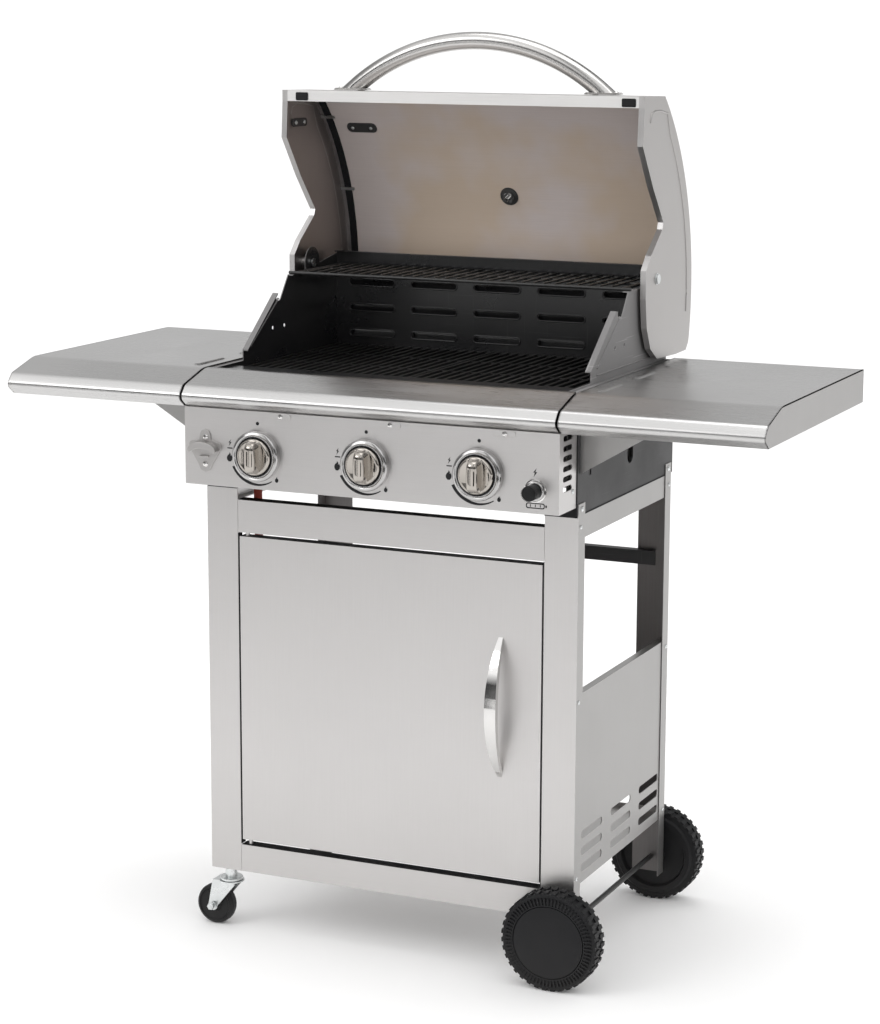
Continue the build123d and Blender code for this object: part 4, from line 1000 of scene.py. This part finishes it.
def build_lid_brackets():
    """Backing plates and their screws inside the lid, and clipped dark strips of painted shade in its
    corners.
    """
    mesh = bmesh.new()
    screws = bmesh.new()
    for side in (-1, 1):
        x = side * 0.2975
        place = basis((x, 0.104, 1.232), (-side, 0, 0))
        add_prism(mesh, rounded_rectangle(0.050, 0.0130, 0.0060), place, 0.0, 0.0026)
        for y in (0.090, 0.118):
            add_pan_head(screws, basis((x - side * 0.0026, y, 1.232), (-side, 0, 0)), 0.0034)
    curve_plate(mesh, -0.258, -0.206, 1.2155, 1.2300, SKIN, 0.0026, 12, 0.007)
    for x in (-0.248, -0.216):
        point, normal = curve_point(1.2228, SKIN + 0.0026)
        add_pan_head(screws, basis((x, point.y, point.z), -normal), 0.0030)
    finish_piece("lid_backing_plates", mesh, BLACK_STEEL, "lid", 35, 0.0005)
    finish_piece("lid_backing_screws", screws, ZINC, "lid", 28)

    # Painted shade: dark strips along the lid's corners, standing in for the shade in the seam between the
    # skin and the caps.
    mesh = bmesh.new()
    for side in (-1, 1):
        curve_plate(mesh, *sorted((side * 0.2790, side * 0.2905)), 0.990, 1.266, SKIN, 0.0020, 40)
    finish_piece("lid_corner_shade_strips", mesh, RUBBER_AND_SHADE, "lid", 35)
    mesh = bmesh.new()
    for side in (-1, 1):
        for z in (1.118, 1.238):
            ends = sorted((side * 0.2730, side * 0.2975))
            curve_plate(mesh, *ends, z, z + 0.0045, SKIN + 0.0020, 0.0012, 3)
    finish_piece("lid_strip_clips", mesh, ZINC, "lid", 35)


def build_cap_beads():
    """A pressed bead that runs round each end cap, just inside its edge, and the hinge bolts' washers."""
    mesh = bmesh.new()
    for side in (-1, 1):
        x = side * (cap_x - 0.0002)
        heights = [0.945 + (1.238 - 0.945) * step / 32 for step in range(33)]
        curve = [curve_point(z, 0.024)[0] for z in heights]
        points = [(x, point.y, point.z) for point in curve]
        points += [(x, curve[-1].y - 0.014, 1.256), (x, curve[-1].y - 0.046, 1.261)]
        points += [(x, 0.100, 1.261), (x, 0.084, 1.257), (x, 0.079, 1.245)]
        add_tube(mesh, points, 0.0017, 10)
    finish_piece("cap_beads", mesh, STEEL_CAP_SHADE, "lid", 60)

    mesh = bmesh.new()
    for side in (-1, 1):
        place = basis((side * cap_x, LID_HINGE_Y, LID_HINGE_Z), (side, 0, 0))
        add_lathe(mesh, [(0.0048, 0.0), (0.0088, 0.0), (0.0088, 0.0008), (0.0048, 0.0010)], place, 32)
    finish_piece("hinge_washers", mesh, ZINC, "lid", 35)


def build_thermometer_details():
    """The dial's plain scale and its needle, and the nut and washer inside the lid."""
    angle = math.radians(20.0)
    normal = Vector((0, math.cos(angle), math.sin(angle)))
    centre = Vector((0, CURVE_Y, CURVE_Z)) + normal * CURVE_R
    depth = max((Vector(v.co) - centre).dot(normal) for v in nodes["thermometer"].data.vertices)
    face = basis(centre + normal * depth, normal)

    mesh = bmesh.new()
    add_lathe(mesh, [(0.0, 0.0001), (0.0275, 0.0001), (0.0275, -0.0006), (0.0, -0.0006)], face, 64)
    finish_piece("dial_face", mesh, DIAL_WHITE, "lid", 30)

    mesh = bmesh.new()
    for step in range(25):
        turn = face @ Matrix.Rotation(math.radians(-120 + 10 * step), 4, "Z")
        long_tick = step % 4 == 0
        width, height = (0.0009, 0.0050) if long_tick else (0.0005, 0.0028)
        mark = turn @ Matrix.Translation((0, 0.0235 - height / 2, 0))
        add_prism(mesh, rounded_rectangle(width, height, 0.0002, 1), mark, 0.0001, 0.0003)
    needle = face @ Matrix.Rotation(math.radians(118), 4, "Z")
    outline = [(-0.0011, -0.006), (0.0011, -0.006), (0.0003, 0.0205), (-0.0003, 0.0205)]
    add_prism(mesh, outline, needle, 0.0004, 0.0008)
    add_lathe(mesh, [(0.0024, 0.0001), (0.0024, 0.0012), (0.0018, 0.0015), (0.0, 0.0015)], face, 24)
    finish_piece("dial_marks", mesh, PRINT, "lid", 30)

    mesh = bmesh.new()
    profile = [
        (0.0275, 0.0), (0.0300, 0.0), (0.0322, -0.0016),
        (0.0334, -0.0050), (0.0332, -0.0090), (0.0320, -0.0090),
    ]
    add_lathe(mesh, profile, face, 72)
    finish_piece("dial_rim", mesh, CHROME, "lid", 45)

    inside = basis(centre - normal * 0.0016, -normal)
    mesh = bmesh.new()
    profile = [(0.0050, 0.0), (0.0150, 0.0), (0.0153, 0.0006), (0.0147, 0.0012), (0.0050, 0.0012)]
    add_lathe(mesh, profile, inside, 40)
    finish_piece("probe_washer", mesh, BLACK_STEEL, "lid", 35)
    mesh = bmesh.new()
    add_hex_head(mesh, inside @ Matrix.Translation((0, 0, 0.0012)), 0.0175, 0.0052)
    add_lathe(mesh, [(0.0038, 0.0065), (0.0038, 0.0140), (0.0030, 0.0150), (0.0, 0.0150)], inside, 24)
    finish_piece("probe_nut", mesh, CHROME, "lid", 35)


def build_handle():
    """The bowed tube handle, cut level where it meets its two foot plates."""
    base = lid_high[2]
    half_span, rise, tube = 0.208, 0.0748, 0.0135
    radius = (half_span**2 + rise**2) / (2 * rise)
    reach = math.asin(half_span / radius)
    centre_z = base + 0.0025 + rise - radius
    mesh = bmesh.new()
    rings = []
    steps = 72
    for step in range(steps + 1):
        angle = reach * (2 * step / steps - 1)
        outward = Vector((math.sin(angle), 0, math.cos(angle)))
        along = Vector((math.cos(angle), 0, -math.sin(angle)))
        middle = Vector((0, 0.122, centre_z)) + outward * radius
        ring = []
        for out, back in circle_points(tube, 32):
            point = middle + out * outward + back * Vector(BACK)
            if step in (0, steps):
                point += along * ((base + 0.0022 - point.z) / along.z)
            ring.append(mesh.verts.new(point))
        rings.append(ring)
    for lower, upper in zip(rings, rings[1:]):
        bridge(mesh, lower, upper)
    for side in (-1, 1):
        plate = Matrix.Translation((side * (half_span + 0.002), 0.119, 0))
        add_prism(mesh, rounded_rectangle(0.058, 0.031, 0.0105, 8), plate, base - 0.0003, base + 0.0014)
        add_prism(mesh, rounded_rectangle(0.055, 0.028, 0.0095, 8), plate, base + 0.0014, base + 0.0026)
    handle = finish_piece("handle_bow", mesh, STEEL_HANDLE, "lid", 40)
    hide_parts("lid_handle")


def build_handle_screws():
    """Screws of the handle's foot plates."""
    mesh = bmesh.new()
    top = lid_high[2]
    for side in (-1, 1):
        add_pan_head(mesh, basis((side * 0.2305, 0.119, top + 0.0026), UP, BACK), 0.0036)
    finish_piece("handle_screws", mesh, CHROME, "lid", 28)


# ------------------------------------------------------------------ worktop
def round_path(points, radii, steps=7):
    """A polyline with an arc at each inner corner; a radius of 0 keeps the corner."""
    path = [Vector(points[0])]
    for index in range(1, len(points) - 1):
        corner = Vector(points[index])
        into = (Vector(points[index - 1]) - corner).normalized()
        away = (Vector(points[index + 1]) - corner).normalized()
        radius = radii[index - 1]
        if not radius:
            path.append(corner)
            continue
        half = into.angle(away) / 2
        cut = radius / math.tan(half)
        centre = corner + (into + away).normalized() * (radius / math.sin(half))
        start, end = corner + into * cut - centre, corner + away * cut - centre
        sweep = start.angle(end)
        for step in range(steps + 1):
            share = step / steps
            swung = start * math.sin((1 - share) * sweep) + end * math.sin(share * sweep)
            path.append(centre + swung / math.sin(sweep))
    path.append(Vector(points[-1]))
    return [(p.x, p.y) for p in path]


def worktop_section(inset):
    """Section of the worktop sheet in depth and height: flat top, easy slope and rolled front edge."""
    points = [
        (-0.207, SHELF_HIGH - inset), (-0.2690 + inset, 0.8620 - inset * 0.9), (-0.2835 + inset, 0.8445),
        (-0.2640 + inset * 0.6, SHELF_LOW + inset * 0.5),
    ]
    return [(SHELF_BACK - inset, SHELF_LOW), (SHELF_BACK - inset, SHELF_HIGH - inset), *points]


def add_sheet_run(mesh, x0, x1, ends):
    """The folded worktop sheet between two stations, with closed ends where asked."""
    lay = Matrix(((0, 0, 1, 0), (1, 0, 0, 0), (0, 1, 0, 0), (0, 0, 0, 1)))
    outer = round_path(worktop_section(0.0), [0.0020, 0.060, 0.0135, 0.0085])
    inner = round_path(worktop_section(0.0015), [0.0010, 0.0585, 0.0120, 0.0070])
    add_prism(mesh, outer + list(reversed(inner)), lay, x0, x1)
    for end in ends:
        add_prism(mesh, outer, lay, *sorted((end, end + 0.0015 * (1 if end < (x0 + x1) / 2 else -1))))


def build_worktop():
    """The two shelves with their raised ribs, and the front trim between them."""
    for name, side in (("left", -1), ("right", 1)):
        mesh = bmesh.new()
        x0, x1 = sorted((side * 0.3005, side * 0.6000))
        add_sheet_run(mesh, x0, x1, (x0, x1))
        for y in (-0.142, 0.0, 0.142):
            rib = Matrix.Translation((side * 0.3255, y, 0.8795))
            for width, length, corner, low, high in (
                (0.0125, 0.082, 0.0060, 0.0, 0.0012),
                (0.0095, 0.079, 0.0046, 0.0012, 0.0020),
                (0.0055, 0.074, 0.0026, 0.0020, 0.0023),
            ):
                add_prism(mesh, rounded_rectangle(width, length, corner), rib, low, high)
        shelf = finish_piece(f"shelf_{name}_top", mesh, STEEL_TOP, "frame", 30)
        # Painted shade: the shelf's ends take the darker side-facing copy of the steel.
        paint_faces(shelf.data, STEEL_SIDE_SHADE, lambda face: abs(face.normal.x) > 0.9 and face.center.z < 0.8785)
        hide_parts(f"shelf_{name}")
    mesh = bmesh.new()
    add_sheet_run(mesh, -0.2965, 0.2965, ())
    for vert in mesh.verts:
        if vert.co.y > 0:
            vert.co.y = -0.2015 - (SHELF_BACK - vert.co.y)
            if vert.co.z < 0.835:
                vert.co.z = 0.860
    trim = finish_piece("front_trim_roll", mesh, STEEL_TOP, "frame", 30)
    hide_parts("front_trim")


# ------------------------------------------------------------------ fire bowl
def add_skewed_prism(mesh, section, near, far, shrink=(1.0, 1.0)):
    """A solid between a section at one corner and the same section, shrunk or not, at another."""
    first = [mesh.verts.new(near + Vector((0, y, z))) for y, z in section]
    second = [mesh.verts.new(far + Vector((0, y * shrink[0], z * shrink[1]))) for y, z in section]
    mesh.faces.new(first)
    mesh.faces.new(list(reversed(second)))
    bridge(mesh, first, second)


def build_louvres():
    """Hoods behind the rear wall's slots and the pressed rims in front of them."""
    hoods, rims = bmesh.new(), bmesh.new()
    top = [(0.0, 0.0095), (0.0045, 0.0060), (0.0080, 0.0005), (0.0088, -0.0075)]
    sheet = [*top, (0.0078, -0.0075), (0.0070, 0.0), (0.0038, 0.0050), (0.0, 0.0075)]
    solid = [*top, (0.0, -0.0075)]
    slots = [(x, z) for z in (0.890, 0.931, 0.972) for x in (-0.220, -0.110, 0.0, 0.110, 0.220)]
    for x, z in slots:
        middle = Vector((x, 0.2104, z))
        add_skewed_prism(hoods, sheet, middle - Vector((0.0405, 0, 0)), middle + Vector((0.0405, 0, 0)))
        for end in (-1, 1):
            near, far = middle + Vector((end * 0.0390, 0, 0)), middle + Vector((end * 0.0415, 0, 0))
            add_skewed_prism(hoods, solid, near, far, (0.92, 0.94))
        shape = [(x + px, 0.2088, z + pz) for px, pz in rounded_rectangle(0.0815, 0.0118, 0.0056, 6)]
        add_tube(rims, shape, 0.0012, 8, closed=True)
    finish_piece("louvre_hoods", hoods, BLACK_ENAMEL, "frame", 30)
    finish_piece("louvre_rims", rims, BLACK_ENAMEL, "frame", 60)


def build_bowl_beads():
    """Pressed beads along the slope and the top of each bowl side wall."""
    mesh = bmesh.new()
    for side in (-1, 1):
        for x in (side * 0.2852, side * 0.2833):
            start, end = Vector((x, -0.090, 0.899)), Vector((x, 0.004, 0.964))
            add_tube(mesh, [start, start.lerp(end, 0.5), end], 0.0012, 10)
        add_tube(mesh, [(side * 0.2852, y, 0.889) for y in (-0.090, 0.10, 0.195)], 0.0012, 10)
    finish_piece("bowl_beads", mesh, BOWL_GREY, "frame", 60)


def side_of(name):
    """-1 for a left-hand node and 1 for a right-hand one."""
    return -1 if name.endswith("left") else 1


def paint_cart_side_shade():
    """Painted shade: a darker copy of the steel on the cart's faces that look outwards to the sides, and a
    much darker one on the rear legs' fronts.
    """
    for name in [*LEGS, *SIDE_PANELS, *SIDE_RAILS]:
        side = side_of(name)
        paint_faces(nodes[name].data, STEEL_SIDE_SHADE, lambda face: face.normal.x * side > 0.7)
    for name in REAR_LEGS:
        paint_faces(nodes[name].data, STEEL_INNER_SHADE, lambda face: face.normal.y < -0.5)


def paint_lid_inside():
    """A softer, heat-browned finish on the faces of the lid that look inwards; painted light on the front
    band, as a lighter copy of the steel; painted shade on the caps' inner faces, as a darker copy; and the
    cart steel on the caps' forward-facing flanges.
    """

    def is_inner(face):
        inward = Vector((0, CURVE_Y - face.center.y, CURVE_Z - face.center.z)).normalized()
        return face.center.z < 1.266 and face.normal.dot(inward) > 0.3

    def is_band(face):
        return face.center.z > 1.262 and face.normal.y < -0.5 and not is_inner(face)

    paint_faces(nodes["lid_skin"].data, LID_INSIDE, is_inner)
    paint_faces(nodes["lid_skin"].data, LID_BAND_LIT, is_band)
    for name in ("lid_cap_left", "lid_cap_right"):
        side = side_of(name)

        def is_cap_inner(face):
            return face.normal.x * side < -0.5 and abs(face.center.x) < cap_x - 0.0005

        def is_flange(face):
            return face.normal.y < -0.35 and not is_cap_inner(face)

        paint_faces(nodes[name].data, CAP_INSIDE_SHADE, is_cap_inner)
        paint_faces(nodes[name].data, STEEL_ALONG_Z, is_flange)


def paint_bowl_inside():
    """Black enamel on the faces of the bowl's side walls that look inwards."""
    for name in ("bowl_side_left", "bowl_side_right"):
        side = side_of(name)
        paint_faces(nodes[name].data, BLACK_ENAMEL, lambda face: face.normal.x * side < -0.2)


# ------------------------------------------------------------------ shelves, wheels, casters
def build_shelf_details():
    """Dark seams under the outer ends of the shelf tops."""
    mesh = bmesh.new()
    for side in (-1, 1):
        add_block(mesh, (side * 0.5995 - 0.0004, -0.2070, 0.8772), (side * 0.5995 + 0.0004, 0.2070, 0.8782))
    finish_piece("shelf_seams", mesh, RUBBER_AND_SHADE, "frame", 30)


def build_wheel_details():
    """Ribs, a ring and a tread band on each tyre, and a smooth hubcap."""
    tread = [
        (0.0600, -0.0370), (0.0722, -0.0365), (0.0728, -0.0350),
        (0.0728, -0.0040), (0.0715, -0.0022), (0.0600, -0.0020),
    ]
    ring = [(0.0545, -0.0020), (0.0555, 0.0002), (0.0572, 0.0004), (0.0582, -0.0018)]
    cap = [(0.0, 0.0010), (0.0300, 0.0009), (0.0500, 0.0005), (0.0535, -0.0002), (0.0540, -0.0012)]
    for name, out in (("front", -1), ("rear", 1)):
        body = f"{name}_wheel"
        low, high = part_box(f"wheel_{name}")
        centre_x, centre_z = (low[0] + high[0]) / 2, (low[2] + high[2]) / 2
        face_y = low[1] if out < 0 else high[1]
        mesh = bmesh.new()
        place = basis((centre_x, face_y, centre_z), (0, out, 0))
        for step in range(72):
            turn = place @ Matrix.Rotation(2 * math.pi * step / 72, 4, "Z")
            turn = turn @ Matrix.Translation((0.0625, 0, -0.0024))
            add_prism(mesh, rounded_rectangle(0.0105, 0.0022, 0.0008, 2), turn, -0.0020, 0.0032)
        add_lathe(mesh, ring, place, 96)
        add_lathe(mesh, tread, place, 96)
        finish_piece(f"tyre_ribs_{name}", mesh, BLACK_PLASTIC, body, 35)
        mesh = bmesh.new()
        add_lathe(mesh, cap, place, 96)
        finish_piece(f"hubcap_{name}", mesh, BLACK_PLASTIC, body, 35)


def build_caster_details():
    """Raceway rings on each caster stem, and the bolt heads of its fork."""
    raceway = [(0.0165, 0.0745), (0.0180, 0.0750), (0.0184, 0.0765), (0.0178, 0.0785), (0.0164, 0.0792)]
    for name, y in (("front", -0.182), ("rear", 0.182)):
        place = basis((-0.276, y, 0.0), UP, BACK)
        mesh = bmesh.new()
        add_lathe(mesh, raceway, place, 48)
        add_lathe(mesh, [(0.0090, 0.0950), (0.0118, 0.0948), (0.0122, 0.0936), (0.0090, 0.0930)], place, 36)
        finish_piece(f"caster_raceway_{name}", mesh, ZINC, "frame", 35)
        body = f"caster_{name}_swivel"
        mesh = bmesh.new()
        fork_low, fork_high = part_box(f"caster_fork_{name}")
        for side in (-1, 1):
            face_y = fork_low[1] if side < 0 else fork_high[1]
            add_hex_head(mesh, basis((-0.302, face_y, 0.0315), (0, side, 0)), 0.0100, 0.0034)
        finish_piece(f"caster_bolts_{name}", mesh, ZINC, body, 30)


def build_base_details():
    """The cap of the regulator, with its six screws."""
    low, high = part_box("regulator")
    centre = (low + high) / 2
    mesh = bmesh.new()
    top = basis((centre.x, centre.y, high.z), UP, BACK)
    add_lathe(mesh, [(0.0200, -0.0010), (0.0205, 0.0010), (0.0190, 0.0030), (0.0, 0.0034)], top, 40)
    for x, y in circle_points(0.0145, 6):
        add_pan_head(mesh, top @ Matrix.Translation((x, y, 0.0030)), 0.0016, cross=False)
    finish_piece("regulator_cap", mesh, ZINC, "frame", 30)


build_hose()
build_fixings()
build_panel_marks()
build_control_details()
build_door_shade_strips()
build_knobs()
build_opener()
build_lid_rubbers()
build_lid_brackets()
build_cap_beads()
build_thermometer_details()
build_handle()
build_handle_screws()
build_worktop()
build_louvres()
build_bowl_beads()
paint_bowl_inside()
paint_lid_inside()
paint_cart_side_shade()
build_shelf_details()
build_wheel_details()
build_caster_details()
build_base_details()
